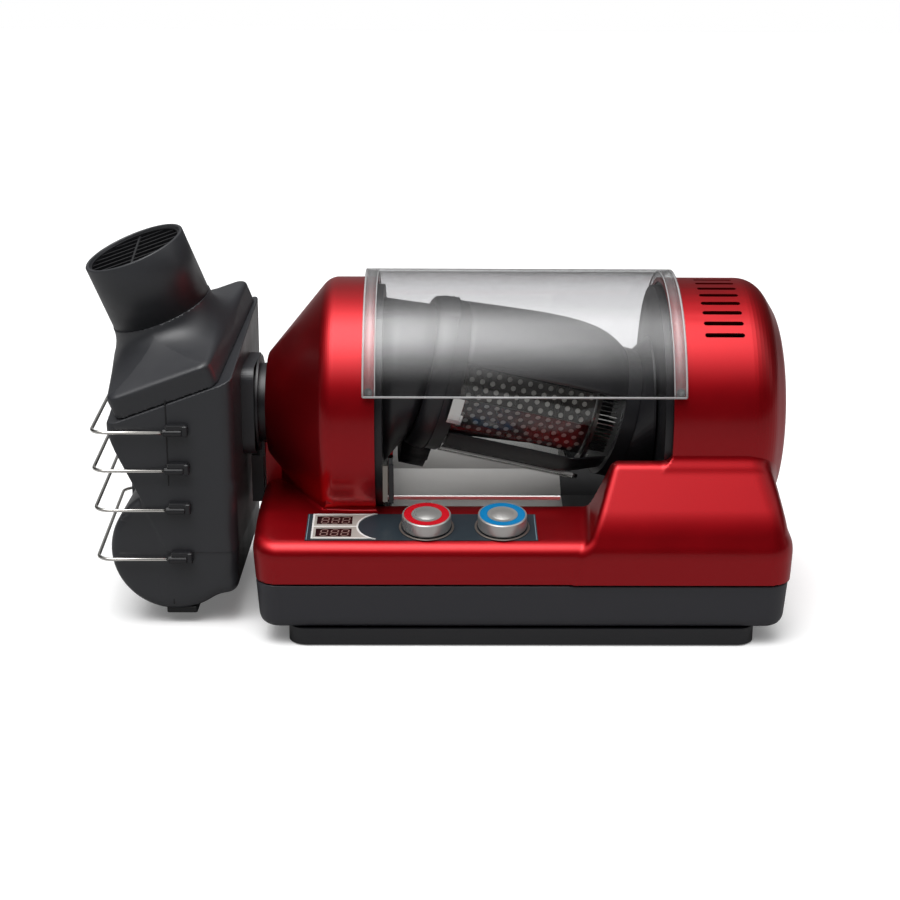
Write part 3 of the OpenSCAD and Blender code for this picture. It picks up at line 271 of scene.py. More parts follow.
def surface_net(f, lo, hi, step, eps=0.15):
    """Quad surface of f = 0: one vertex for each crossed cell, moved onto the surface, with its normal."""
    ax = [np.arange(lo[i], hi[i] + step, step, dtype=np.float32) for i in range(3)]
    X, Y, Z = np.meshgrid(*ax, indexing="ij")
    V = f(X, Y, Z)
    S = V < 0
    n = [len(a) for a in ax]
    corners = [(i, j, k) for i in (0, 1) for j in (0, 1) for k in (0, 1)]
    cell = np.zeros((n[0] - 1, n[1] - 1, n[2] - 1), dtype=np.int8)
    for i, j, k in corners:
        cell += S[i:n[0] - 1 + i, j:n[1] - 1 + j, k:n[2] - 1 + k]
    act = (cell > 0) & (cell < 8)
    ci = np.argwhere(act)
    index = np.full(act.shape, -1, dtype=np.int64)
    index[act] = np.arange(len(ci))
    # each vertex starts at the mean of the points where its cell's edges cross the surface
    acc = np.zeros((len(ci), 3))
    cnt = np.zeros(len(ci))
    for a in corners:
        for d in range(3):
            if a[d]:
                continue
            b = list(a)
            b[d] = 1
            va = V[ci[:, 0] + a[0], ci[:, 1] + a[1], ci[:, 2] + a[2]]
            vb = V[ci[:, 0] + b[0], ci[:, 1] + b[1], ci[:, 2] + b[2]]
            m = (va < 0) != (vb < 0)
            t = np.where(m, va / np.where(m, va - vb, 1), 0)
            p = np.array(a, dtype=float)[None, :] + t[:, None] * (np.array(b) - np.array(a))[None, :]
            acc += np.where(m[:, None], p, 0)
            cnt += m
    P = (ci + acc / cnt[:, None]) * step + np.array(lo)
    # one quad round each crossed edge of the grid
    faces = []
    for d in range(3):
        e1, e2 = [(1, 2), (2, 0), (0, 1)][d]
        sl0 = [slice(None)] * 3
        sl1 = [slice(None)] * 3
        sl0[d] = slice(0, n[d] - 1)
        sl1[d] = slice(1, n[d])
        s0, s1 = S[tuple(sl0)], S[tuple(sl1)]
        ed = np.argwhere(s0 != s1)
        ok = (ed[:, e1] > 0) & (ed[:, e2] > 0) & (ed[:, e1] < n[e1] - 1) & (ed[:, e2] < n[e2] - 1)
        ed = ed[ok]
        flip = s0[ed[:, 0], ed[:, 1], ed[:, 2]]
        q = []
        for o1, o2 in ((-1, -1), (0, -1), (0, 0), (-1, 0)):
            c = ed.copy()
            c[:, e1] += o1
            c[:, e2] += o2
            q.append(index[c[:, 0], c[:, 1], c[:, 2]])
        q = np.stack(q, 1)
        q[~flip] = q[~flip][:, ::-1]
        faces.append(q)
    F = np.concatenate(faces)
    P = P.astype(np.float64)
    # short steps down the gradient bring the vertices onto the surface
    for _ in range(3):
        g = gradient(f, P, eps)
        gl = np.maximum((g * g).sum(1), 1e-6)
        mv = -(f(P[:, 0], P[:, 1], P[:, 2]) / gl)[:, None] * g
        ln = np.linalg.norm(mv, axis=1)
        mv *= np.minimum(1, 0.4 * step / np.maximum(ln, 1e-9))[:, None]
        P = P + mv
    g = gradient(f, P, eps)
    N = g / np.maximum(np.linalg.norm(g, axis=1), 1e-9)[:, None]
    return P, F, N


def gradient(f, P, e):
    """Central differences of f at the points P."""
    g = np.empty_like(P)
    for d in range(3):
        a, b = P.copy(), P.copy()
        a[:, d] += e
        b[:, d] -= e
        g[:, d] = (f(a[:, 0], a[:, 1], a[:, 2]) - f(b[:, 0], b[:, 1], b[:, 2])) / (2 * e)
    return g


# ---------- upper housing: ledge, hump and the fillets where the towers stand on it ----------
AX = 146.0                          # height of the turning axis
TOWER_R = 94.0
TOWER_MOUTH = 104.0                 # |x| where the towers open towards the bay
BODY_END = 190.0                    # |x| of the body's ends
BODY_FRONT, BODY_BACK = -124.0, 106.0
BODY_EDGE = 11.5                    # blend between the body's sides and top
DECK_Z = 88.0
LEDGE_Y, LEDGE_Z, LEDGE_TILT = -122.0, 76.0, 11.1       # front edge of the control ledge, and its slope
DOME_LONG, DOME_HIGH = 35.0, 64.0   # rounded outer end of the right tower
WALL = 3.2


def side_walls(X, Y, Z, least=0.0, most=2.6):
    """The body's rounded outline, drawn in towards the table by the draft of its moulds."""
    draft = np.clip((80.0 - Z) * 0.075, least, most)
    return rounded_plan(X, Y, -BODY_END, BODY_END, BODY_FRONT, BODY_BACK, 20.0) + draft


def tower_left(X, Y, Z, shrink=0.0):
    """Cylinder with a cone at its outer end, on a foot with slanting outer corners."""
    r = np.hypot(Y, Z - AX)
    cone = (r - TOWER_R) * 0.639 - (X + 139.0) * 0.769
    f = smax(smax(r - TOWER_R, cone, 14.0), -BODY_END - X, 7.0)
    foot = np.maximum((np.abs(Y) - 76.0) * 0.478 - (X + 139.5) * 0.878, np.abs(Y) - 78.0)
    foot = smax(foot, -188.5 - X, 5.0)
    foot = smax(foot, Z - AX + 12, 8.0)
    f = smin(f, smax(foot, r - 93.8, 4.0), 3.0)
    return smax(f, X + TOWER_MOUTH, 1.0) + shrink


def tower_right(X, Y, Z, shrink=0.0):
    """Cylinder whose outer end rounds off as a superellipse of power 2.5."""
    r = np.hypot(Y, Z - AX)
    p = np.maximum(r - (TOWER_R - DOME_HIGH), 1e-3) / DOME_HIGH
    q = np.maximum(X - (BODY_END - DOME_LONG), 1e-3) / DOME_LONG
    level = (p ** 2.5 + q ** 2.5) ** 0.4
    steepness = np.hypot((q / level) ** 1.5 / DOME_LONG, (p / level) ** 1.5 / DOME_HIGH)
    return smax((level - 1) / steepness, TOWER_MOUTH - X, 1.0) + shrink


def body_form(X, Y, Z):
    """Low body with the slanting control ledge along its front."""
    tilt = math.radians(LEDGE_TILT)
    ledge = (Z - LEDGE_Z) * math.cos(tilt) - (Y - LEDGE_Y) * math.sin(tilt)
    return smax(side_walls(X, Y, Z), smax(ledge, Z - DECK_Z, 3.0), BODY_EDGE)


def hump_form(X, Y, Z):
    """Block on the right of the ledge, with slanting front, left and right faces."""
    steep = math.radians(58.0)
    front = -(Y + 114.5) * math.sin(steep) + (Z - 78.0) * math.cos(steep) - 9.5
    left = -(X - 46.0) * 0.9446 + (Z - 80.0) * 0.3285
    right = (X - 187.0) * 0.954 + (Z - 87.0) * 0.299
    f = smax(front, Z - 127.5, 4.0)
    f = smax(f, side_walls(X, Y, Z), BODY_EDGE)
    f = smax(f, right, 16.0)
    f = smax(f, left, 5.0)
    return np.maximum(f, Y + 20.0)


def housing(X, Y, Z):
    """Hollow housing, open below and at the bay, with the vent's opening in its back."""
    r = np.hypot(Y, Z - AX)
    f = smin(body_form(X, Y, Z), hump_form(X, Y, Z), 5.0)
    f = smin(f, tower_left(X, Y, Z, 0.5), 4.0)
    f = smin(f, tower_right(X, Y, Z, 0.5), 9.0)
    f = smax(f, np.abs(X) - (BODY_END - 0.1), 2.0)
    bay = np.maximum(r - 89.0, np.abs(X) - TOWER_MOUTH)
    mouths = np.maximum(r - 88.6, np.abs(X) - 112.0)
    vent = np.maximum(np.maximum(np.abs(X) - 60.3, 100.0 - Y), np.abs(Z - 66.5) - 12.3)
    return np.maximum(cut(f, f + WALL, bay, mouths, vent), 47.0 - Z)


def tub(X, Y, Z):
    """Tub under the housing, with the opening for the mains inlet in its back."""
    side = side_walls(X, Y, Z, 2.5, 5.1)
    f = smax(side, 13.2 - Z, 9.0)
    f = smax(f, Z - 46.3, 1.0)
    inner = np.maximum(side + WALL, 16.5 - Z)
    inlet = np.maximum(np.maximum(np.abs(X - 161.5) - 13.5, 92.0 - Y), np.abs(Z - 29.0) - 10.0)
    return cut(f, inner, inlet)


# ---------- chaff collector ----------
def cap_axes():
    """Columns are the cap's own axes U, V and W, which leans back by 10 degrees and left by 20."""
    n, l = math.radians(10), math.radians(20)
    rx = np.array([[1, 0, 0], [0, math.cos(n), -math.sin(n)], [0, math.sin(n), math.cos(n)]])
    ry = np.array([[math.cos(l), 0, -math.sin(l)], [0, 1, 0], [math.sin(l), 0, math.cos(l)]])
    return ry @ rx


CAP = cap_axes()
CAP0 = np.array([-250.0, 0.0, 180.0])                       # their origin, where cap and collector part
TUBE_U, TUBE_V, TUBE_R, TUBE_TOP = 1.6, 3.7, 37.4, 89.9     # outlet tube in the cap's axes


def to_cap(X, Y, Z):
    """U, V and W of points of the drawing frame."""
    x, y, z = X - CAP0[0], Y - CAP0[1], Z - CAP0[2]
    return tuple(CAP[0, i] * x + CAP[1, i] * y + CAP[2, i] * z for i in range(3))


def quad_sdf(U, V, pts, r):
    """Distance to a convex outline, counter-clockwise, with its corners rounded by r."""
    inside = np.full(np.shape(U), -1e9)
    best = np.full(np.shape(U), 1e9)
    n = len(pts)
    q = []
    for i in range(n):
        a, b, z = np.array(pts[i - 1], float), np.array(pts[i], float), np.array(pts[(i + 1) % n], float)
        u, w = (a - b) / np.linalg.norm(a - b), (z - b) / np.linalg.norm(z - b)
        s = math.sin(math.acos(np.clip(u @ w, -1, 1)) / 2)
        m = (u + w) / np.linalg.norm(u + w)
        q.append(b + m * r / s)
    for i in range(n):
        a, b = q[i], q[(i + 1) % n]
        e = b - a
        L = np.linalg.norm(e)
        t = np.clip(((U - a[0]) * e[0] + (V - a[1]) * e[1]) / (L * L), 0, 1)
        best = np.minimum(best, np.hypot(U - a[0] - t * e[0], V - a[1] - t * e[1]))
        inside = np.maximum(inside, ((U - a[0]) * e[1] - (V - a[1]) * e[0]) / L)
    return np.where(inside > 0, best, -best) - r


CAP_FOOT = [(-43, -80), (33.5, -80), (56.5, 76), (-52, 76)]


def cap_solid(X, Y, Z):
    """Four-sided foot that blends into the round outlet tube, bored through."""
    U, V, W = to_cap(X, Y, Z)
    foot = quad_sdf(U, V, CAP_FOOT, 9.0)
    from_tube = np.hypot(U - TUBE_U, V - TUBE_V)
    neck = from_tube - TUBE_R - 0.6
    rise = (W - 17.0) / 24.0
    t = np.where(rise < 0, 2.0 * rise, 1 - (1 - np.clip(rise, 0, 1)) ** 2.0)
    loft = foot + t * (neck - foot)
    steepness = 1 + np.abs(neck - foot) / 30.0
    f = smax(foot, loft / steepness, 4.0)
    f = np.maximum(f, W - 41.0)
    f = np.maximum(f, 0.35 - W)
    return cut(f, np.maximum(from_tube - 34.0, W - 60))


# Upper block seen from above, then the lower right corner and the ramp from block to lobe from the front
BLOCK = [(-293, -80), (-204, -80), (-199.5, 79), (-297, 79)]
LOW_CORNER = [(-262, 12.2), (-203.5, 24.5), (-203.5, 110), (-262, 110)]
RAMP = [(-287.5, 80.0), (-262, 60), (-240, 100), (-266.5, 96.0)]
LOBE_HALF = 79.5


def collector_solid(X, Y, Z):
    f = np.maximum(quad_sdf(X, Y, BLOCK, 9.0), 57.0 - Z)
    # slanting face under the front left of the block, as far back as y = 18
    side = (X + 293.5) * -0.904 - (Z - 144.0) * 0.428
    f = smax(f, np.minimum(side, 18.0 - Y), 2.0)
    across = np.abs(Y) - LOBE_HALF
    lobe = smax(np.hypot(X + 249.0, Z - 56.0) - 45.5, across, 9.0)
    corner = smax(quad_sdf(X, Z, LOW_CORNER, 9.0), across, 9.0)
    ramp = smax(quad_sdf(X, Z, RAMP, 2.0), across, 5.0)
    f = smin(f, np.minimum(smin(lobe, corner, 2.0), ramp), 3.0)
    return smax(f, to_cap(X, Y, Z)[2], 0.8)


def collector_shell(X, Y, Z):
    """Hollow collector with the round port that faces the tower."""
    f = collector_solid(X, Y, Z)
    return cut(f, f + 2.4, np.maximum(np.hypot(Y, Z - AX) - 30.3, -240.0 - X))


# ---------- swept and turned meshes ----------
def sweep(path, r, n):
    """Rod of n sides along a path; r is one radius, or one for each point."""
    path = [np.array(p, float) for p in path]
    m = len(path)
    verts, faces = [], []
    up = None
    for i, p in enumerate(path):
        d = path[min(i + 1, m - 1)] - path[max(i - 1, 0)]
        d = d / np.linalg.norm(d)
        if up is None:
            up = np.array([0, 0, 1.0]) if abs(d[2]) < 0.9 else np.array([1.0, 0, 0])
        s = np.cross(d, up)
        s /= np.linalg.norm(s)
        up = np.cross(s, d)
        rr = r[i] if hasattr(r, "__len__") else r
        for k in range(n):
            t = 2 * math.pi * k / n
            verts.append(p + rr * (math.cos(t) * s + math.sin(t) * up))
    for i in range(m - 1):
        for k in range(n):
            k2 = (k + 1) % n
            faces.append((i * n + k, i * n + k2, (i + 1) * n + k2, (i + 1) * n + k))
    faces.append(tuple(range(n))[::-1])
    faces.append(tuple((m - 1) * n + k for k in range(n)))
    return verts, faces


def arc(cx, cy, r, a0, a1, n, z):
    """Points of a level arc in n chords, angles in degrees."""
    turns = [math.radians(a0 + (a1 - a0) * i / n) for i in range(n + 1)]
    return [(cx + r * math.cos(t), cy + r * math.sin(t), z) for t in turns]


def turned(profile, frame4, n=96):
    """Solid of revolution about local X of frame4; profile is a closed loop of (x, r)."""
    verts, faces = [], []
    M = np.array(frame4)
    for x, r in profile:
        for k in range(n):
            t = 2 * math.pi * k / n
            verts.append((M @ np.array([x, r * math.cos(t), r * math.sin(t), 1.0]))[:3])
    m = len(profile)
    for i in range(m):
        j = (i + 1) % m
        for k in range(n):
            k2 = (k + 1) % n
            faces.append((i * n + k, j * n + k, j * n + k2, i * n + k2))
    return verts, faces


def merge(*parts):
    """Several (vertices, faces) parts as one."""
    V, F = [], []
    for v, f in parts:
        o = len(V)
        V += list(v)
        F += [tuple(i + o for i in q) for q in f]
    return V, F


# ---------- shown pieces that stand for CAD nodes ----------
FRONT_LIMIT = -123.95       # foremost y, just inside the box of the solids


def net_piece(name, f, lo, hi, step, mat, keep=None):
    """Smooth mesh of a field; keep is positive at the points whose faces stay."""
    P, F, N = surface_net(f, lo, hi, step)
    P[:, 1] = np.maximum(P[:, 1], FRONT_LIMIT)
    if keep is not None:
        F = F[keep(P)[F].max(1) > 0]
        used = np.unique(F)
        remap = np.full(len(P), -1)
        remap[used] = np.arange(len(used))
        P, N, F = P[used], N[used], remap[F]
    return mesh_object(name, P, F, mat, N)


NET_STEP = 1.5
FINE_STEP = NET_STEP * 0.8

# The towers show their own solids, so this skin drops the faces that lie just inside them
house = net_piece("housing_skin", housing, (-193, -127, 44), (193.5, 109, 152), NET_STEP, RED,
                  lambda P: np.minimum(tower_left(*P.T), tower_right(*P.T)) + 0.45)
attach(house, "chassis")
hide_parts("upper_housing")

tray = net_piece("tub_skin", tub, (-190, -126, 10), (190.5, 108, 50), NET_STEP, CHARCOAL)
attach(tray, "chassis")
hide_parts("base_tray")

coll = net_piece("collector_body", collector_shell, (-302, -84, 6), (-196, 84, 224), FINE_STEP, COLLECTOR)
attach(coll, "collector")
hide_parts("collector_outer_shell", "collector_inner_shell")

cap_skin = net_piece("collector_cap_skin", cap_solid, (-330, -90, 150), (-190, 90, 290), FINE_STEP, COLLECTOR)
tube_frame = np.eye(4)
tube_frame[:3, :3] = CAP @ np.array([[0, 1, 0], [0, 0, 1], [1, 0, 0]]).astype(float)
tube_frame[:3, 3] = CAP0 + CAP @ np.array([TUBE_U, TUBE_V, 0])
tube_wall = [(38, TUBE_R - 2.6), (38, TUBE_R), (TUBE_TOP - 0.6, TUBE_R), (TUBE_TOP, TUBE_R - 0.5),
             (TUBE_TOP, TUBE_R - 2.2), (TUBE_TOP - 0.5, TUBE_R - 2.6)]
v, f = turned(tube_wall, tube_frame)
tube = mesh_object("outlet_tube", v, f, COLLECTOR)
for o in (cap_skin, tube):
    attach(o, "cap")
    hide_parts("collector_cap")


# ---------- small pieces in local frames ----------
def rot_x(a):
    c, q = math.cos(math.radians(a)), math.sin(math.radians(a))
    return np.array([[1, 0, 0, 0], [0, c, -q, 0], [0, q, c, 0], [0, 0, 0, 1]], float)


def rot_y(a):
    c, q = math.cos(math.radians(a)), math.sin(math.radians(a))
    return np.array([[c, 0, q, 0], [0, 1, 0, 0], [-q, 0, c, 0], [0, 0, 0, 1]], float)


def move(x, y, z):
    m = np.eye(4)
    m[:3, 3] = (x, y, z)
    return m


CHAMBER_PHASE, CHAMBER_TILT = 25, 15.5      # degrees at rest
CROSSING_X = 44                             # where the chamber's own axis crosses the turning axis
LEDGE = move(0, LEDGE_Y, LEDGE_Z) @ rot_x(LEDGE_TILT)
AXIS = move(0, 0, AX)
PHASE = AXIS @ rot_x(CHAMBER_PHASE)
CHAMBER = PHASE @ move(CROSSING_X, 0, 0) @ rot_y(CHAMBER_TILT)


def put(part, frame4):
    """Part moved from the local frame to the drawing frame."""
    v, f = part
    v = np.asarray(v, float)
    return (v @ frame4[:3, :3].T + frame4[:3, 3]), f


def prism(outline, z0, z1, bevel=0.0):
    """Upright prism on a counter-clockwise outline, with a chamfered top edge."""
    o = np.asarray(outline, float)
    n = len(o)
    if bevel:
        a, b = np.roll(o, 1, 0), np.roll(o, -1, 0)
        t = b - a
        nrm = np.stack([t[:, 1], -t[:, 0]], 1)
        nrm /= np.linalg.norm(nrm, axis=1)[:, None]
        rings = [(o, z0), (o, z1 - bevel), (o - nrm * bevel, z1)]
    else:
        rings = [(o, z0), (o, z1)]
    v = np.concatenate([np.column_stack([q, np.full(n, z)]) for q, z in rings])
    f = [tuple(range(n))[::-1], tuple(range((len(rings) - 1) * n, len(rings) * n))]
    for r in range(len(rings) - 1):
        f += [(r * n + i, r * n + (i + 1) % n, (r + 1) * n + (i + 1) % n, (r + 1) * n + i) for i in range(n)]
    return v, f


def band(outline, width, z0, z1):
    """Ring that follows a counter-clockwise outline on its inside."""
    o = np.asarray(outline, float)
    n = len(o)
    e = np.roll(o, -1, 0) - o
    e /= np.linalg.norm(e, axis=1)[:, None]
    m = np.stack([-e[:, 1], e[:, 0]], 1)
    mm = m + np.roll(m, 1, 0)
    mm /= (1 + (m * np.roll(m, 1, 0)).sum(1))[:, None]
    q = o + mm * width
    v = np.concatenate([np.column_stack([r, np.full(n, z)]) for r, z in ((o, z0), (o, z1), (q, z1), (q, z0))])
    f = []
    for r in range(4):
        s1 = (r + 1) % 4
        f += [(r * n + i, r * n + (i + 1) % n, s1 * n + (i + 1) % n, s1 * n + i) for i in range(n)]
    return v, f


def rounded_outline(x0, x1, y0, y1, r, n):
    """Counter-clockwise rectangle with each corner rounded in n chords."""
    centres = ((x1 - r, y1 - r), (x0 + r, y1 - r), (x0 + r, y0 + r), (x1 - r, y0 + r))
    o = []
    for i, (cx, cy) in enumerate(centres):
        o += [(x, y) for x, y, _ in arc(cx, cy, r, 90 * i, 90 * i + 90, n, 0)]
    return np.array(o)


def rounded_box(x0, x1, y0, y1, z0, z1, r):
    """Block with rounded upright corners and chamfered rims."""
    o = rounded_outline(x0, x1, y0, y1, r, 3)
    c = o.mean(0)
    b = min(r, 0.5)
    k = 1 - 2 * b / max(x1 - x0, y1 - y0)
    rings = [(c + (o - c) * k, z0), (o, z0 + b), (o, z1 - b), (c + (o - c) * k, z1)]
    m = len(o)
    v = np.concatenate([np.column_stack([q, np.full(m, z)]) for q, z in rings])
    f = [tuple(range(m))[::-1], tuple(range(3 * m, 4 * m))]
    for q in range(3):
        f += [(q * m + i, q * m + (i + 1) % m, (q + 1) * m + (i + 1) % m, (q + 1) * m + i) for i in range(m)]
    return v, f


def piece(name, part, mat, body, replaces=(), smooth=False):
    """Shown object from a (vertices, faces) part, on its body and in its material slot."""
    ob = mesh_object(name, part[0], part[1], mat)
    if not smooth:
        ob.data.polygons.foreach_set("use_smooth", np.zeros(len(ob.data.polygons), dtype=bool))
    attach(ob, body)
    if replaces:
        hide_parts(*replaces)


# ---------- cover trim: pale rods that paint the highlights on the clear sheet's edges and on the ribs inside the ends ---
COVER_MID = 99.0                        # radius in the middle of the clear sheet
COVER_FRONT, COVER_BACK = 16.9, 179.5   # its edges, degrees above the front horizon


def rim(x, r, thick):
    """Rod along the round edge of the cover."""
    path = [(x, -r * math.cos(math.radians(a)), AX + r * math.sin(math.radians(a)))
            for a in np.linspace(COVER_FRONT, COVER_BACK, 56)]
    return sweep(path, thick, 8)


# pale rods along the edges and ribs: painted highlights of the clear sheet's edges
edges = [rim(x, COVER_MID, 0.7) for x in (-111.8, 111.8)]
edges += [rim(x, COVER_MID - 0.7, 0.45) for x in (-103.6, 103.6)]
for a in (COVER_FRONT, COVER_BACK - 0.3):
    y, z = -COVER_MID * math.cos(math.radians(a)), AX + COVER_MID * math.sin(math.radians(a))
    edges.append(sweep([(-111.7, y, z), (111.7, y, z)], 0.8, 8))
piece("cover_rim_glints", merge(*edges), EDGE, "cover", smooth=True)


# ---------- guard wires and their clips ----------
GUARD_Z = (146.0, 118.0, 88.8, 52.0)
WIRE_Y = 84.0       # |y| where the wires run into their clips


def guard(z):
    """Wire from the front clip round the left of the collector to the back clip."""
    p = [(-243.0, -WIRE_Y, z), (-290.0, -WIRE_Y, z)]
    p += arc(-292.0, 11.4 - WIRE_Y, 11.4, -90, -176, 10, z)
    p += arc(-301.7, WIRE_Y - 11.4, 11.3, 176, 90, 10, z)
    return p + [(-270.0, WIRE_Y, z), (-243.0, WIRE_Y, z)]


wires = merge(*[sweep(guard(z), 1.25, 12) for z in GUARD_Z])
piece("guard_wires", wires, WIRE, "collector", ("wire_guards",), True)


def clip(z, side):
    """Barrel round the wire's end, with the hook and the tail that hold it to the wall."""
    y = side * WIRE_Y
    inward = y - side * 4.6
    pin = sweep([(x, y, z) for x in (-252.0, -251.6, -239.0, -238.4)], [2.2, 2.7, 2.7, 2.2], 16)
    hook = rounded_box(-250.0, -235.5, *sorted((inward, y + side * 2.0)), z + 2.2, z + 5.6, 1.2)
    tail = rounded_box(-238.6, -234.6, *sorted((inward, y + side * 2.4)), z - 2.6, z + 5.0, 1.2)
    return merge(pin, hook, tail)


clips = merge(*[clip(z, side) for z in GUARD_Z for side in (-1, 1)])
piece("guard_clips", clips, BLACK, "collector", ("wire_clips",))
seam = merge(rounded_box(-250.5, -249.5, -80.35, -79.0, 57.0, 168.0, 0.2),
             rounded_box(-250.5, -249.5, -79.85, -78.0, 16.0, 57.0, 0.2),
             rounded_box(-256.0, -234.0, -77.0, -40.0, 8.2, 13.0, 1.5))
piece("collector_seam", seam, SEAM, "collector")


# ---------- control panel, in the ledge's frame: x to the right, v up the slope ----------
FILM_X0, FILM_X1, FILM_V0, FILM_V1 = -152.0, 10.0, 7.6, 44.1
SHOW_X0, SHOW_V0, SHOW_V1 = -148.0, 8.8, 42.9       # display frame, whose right end is a hollow arc
ROW = (SHOW_V1 - SHOW_V0) / 2
MID_V = (SHOW_V0 + SHOW_V1) / 2
ARC_X, ARC_R = SHOW_X0 + 50.0, ROW + 0.6
LEAN = 0.10                                         # how far a digit leans over for its height


def box2(x0, x1, v0, v1):
    return [(x0, v0), (x1, v0), (x1, v1), (x0, v1)]


def display_outline():
    """Display frame with its right side hollowed by the arc."""
    half = math.degrees(math.asin(ROW / ARC_R))
    mid = [(ARC_X + ARC_R * math.cos(math.radians(a)), MID_V + ARC_R * math.sin(math.radians(a)))
           for a in np.linspace(180 + half, 180 - half, 26)]
    return [(SHOW_X0, SHOW_V0)] + mid + [(SHOW_X0, SHOW_V1)]


def segment(x0, v0, x1, v1, thick):
    """Six-sided bar of a digit from one point to another."""
    d = np.array([x1 - x0, v1 - v0], float)
    d /= np.linalg.norm(d)
    across = np.array([-d[1], d[0]]) * thick / 2
    a, b = np.array([x0, v0]) + d * 0.25, np.array([x1, v1]) - d * 0.25
    tip = d * thick / 2
    return [a, a + tip - across, b - tip - across, b, b - tip + across, a + tip + across]


def digit(x, v, w, h):
    """All seven segments, w wide and twice h high."""
    bars = ((0, 0, w, 0), (0, h, w, h), (0, 2 * h, w, 2 * h), (0, 0, 0, h), (w, 0, w, h), (0, h, 0, 2 * h),
            (w, h, w, 2 * h))
    return [prism(segment(x + x0 + v0 * LEAN, v + v0, x + x1 + v1 * LEAN, v + v1, 0.95), 0.6, 0.68)
            for x0, v0, x1, v1 in bars]


film = merge(*[prism(box2(x, x + 0.5, FILM_V0 + 0.8, FILM_V1 - 0.8), 0.3, 0.36)
               for x in (FILM_X0 + 0.8, FILM_X1 - 1.3)])
piece("panel_border", put(film, LEDGE), BLUE_LINE, "chassis")
split = prism(box2(SHOW_X0 + 1.0, SHOW_X0 + 32.2, MID_V - 0.45, MID_V + 0.45), 0.5, 0.95, 0.15)
piece("display_rim", put(merge(band(display_outline(), 1.3, 0.5, 1.05), split), LEDGE), RIM_WHITE, "chassis")
windows, digits = [], []
for row in (0, 1):
    v0 = SHOW_V0 + 3.0 + row * ROW
    v1 = v0 + ROW - 6.0
    windows.append(prism(box2(SHOW_X0 + 3.0, SHOW_X0 + 28.0, v0, v1), 0.45, 0.62, 0.1))
    for k in range(3):
        digits += digit(SHOW_X0 + 6.2 + k * 7.3, v0 + 1.5, 4.6, (v1 - v0 - 3.0) / 2)
piece("display_windows", put(merge(*windows), LEDGE), WINDOW, "chassis")
piece("display_digits", put(merge(*digits), LEDGE), DIGIT, "chassis")
for name, x in (("temp", -67.6), ("time", -14.4)):
    ring = turned([(0.7, 17.75), (0.7, 19.5), (0.98, 19.4), (1.12, 18.9), (1.12, 18.0), (0.98, 17.75)],
                  LEDGE @ move(x, (FILM_V0 + FILM_V1) / 2, 0) @ rot_y(-90))
    piece(name + "_base_ring", ring, TAUPE, "chassis", smooth=True)


# ---------- chamber details ----------
def polar(x, a, r):
    """Point of the chamber frame at angle a from its underside towards the front."""
    t = math.radians(a)
    return (x, -r * math.sin(t), -r * math.cos(t))


def wedge(x0, x1, a0, a1, r0, r1, n, taper=0.0):
    """Curved block between two radii and two angles, its outer face drawn in by taper degrees."""
    v, f = [], []
    for i in range(n + 1):
        t = i / n
        ai = a0 + (a1 - a0) * t
        ao = (a0 + taper) + (a1 - a0 - 2 * taper) * t
        v += [polar(x0, ai, r0), polar(x0 + 0.6, ao, r1), polar(x1 - 0.6, ao, r1), polar(x1, ai, r0)]
    for i in range(n):
        for k in range(4):
            k2 = (k + 1) % 4
            f.append((i * 4 + k, (i + 1) * 4 + k, (i + 1) * 4 + k2, i * 4 + k2))
    f += [(0, 1, 2, 3), (n * 4 + 3, n * 4 + 2, n * 4 + 1, n * 4)]
    return v, f


def skin(xs, outer, inner, a0, a1, n):
    """Closed skin between two radius functions of (x, angle), from angle a0 to a1."""
    v, f = [], []
    m = len(xs)
    for i in range(n + 1):
        a = a0 + (a1 - a0) * i / n
        v += [polar(x, a, outer(x, a)) for x in xs]
        v += [polar(x, a, inner(x, a)) for x in xs[::-1]]
    k = 2 * m
    for i in range(n):
        for j in range(k):
            j2 = (j + 1) % k
            f.append((i * k + j, (i + 1) * k + j, (i + 1) * k + j2, i * k + j2))
    f += [tuple(range(k)), tuple(n * k + j for j in range(k))[::-1]]
    return v, f


def smoothstep(w):
    return w * w * (3 - 2 * w)


# The skin of the chamber swells towards its top and rounds off at the drive end
BARREL_X = (-98.0, -90.0, -75.0, -60.0, -40.0, -23.0, -10.0, 0.0, 8.0, 14.0, 19.0, 23.0, 25.2)
BARREL_R = (56.2, 56.9, 58.2, 59.4, 60.9, 61.4, 60.9, 59.7, 57.6, 55.2, 52.4, 49.6, 47.6)
INNER_R = (53.8, 53.8, 53.8, 53.8, 53.8, 53.8, 53.8, 53.7, 52.9, 51.6, 49.8, 47.7, 46.3)


def barrel_in(x, a):
    return np.interp(x, BARREL_X, INNER_R)


def barrel_out(x, a):
    full, low = np.interp(x, BARREL_X, BARREL_R), barrel_in(x, a) + 1.3
    return low + (full - low) * smoothstep(np.interp(a, (139, 165, 240, 300), (0.35, 1.0, 1.0, 0.0)))


stations = list(np.linspace(-98, -4, 24)) + list(np.linspace(0, 25.2, 16))
shell = skin(stations, barrel_out, barrel_in, 139, 300, 60)
piece("chamber_skin", put(shell, CHAMBER), SHELL, "drum", ("chamber_shell",), True)

BAY_REACH = 85.3        # largest distance from the turning axis that stays inside the bay
NECK_X = -121.0         # outer end of the collar


def reach(x):
    """Radius at x, on the chamber's own axis, that comes no further out than the bay allows."""
    tilt = math.radians(CHAMBER_TILT)
    return (BAY_REACH + x * math.sin(tilt)) / math.cos(tilt)


def lug(x, a):
    """Outer radius of the lug on top of the collar."""
    along = np.interp(x, (NECK_X, -117, -106.5, -104.5), (0, 1, 1, 0))
    around = np.interp(a, (170, 176, 203, 209), (0, 1, 1, 0))
    return 54 + (min(reach(x), 59.8) - 54) * smoothstep(along * around)


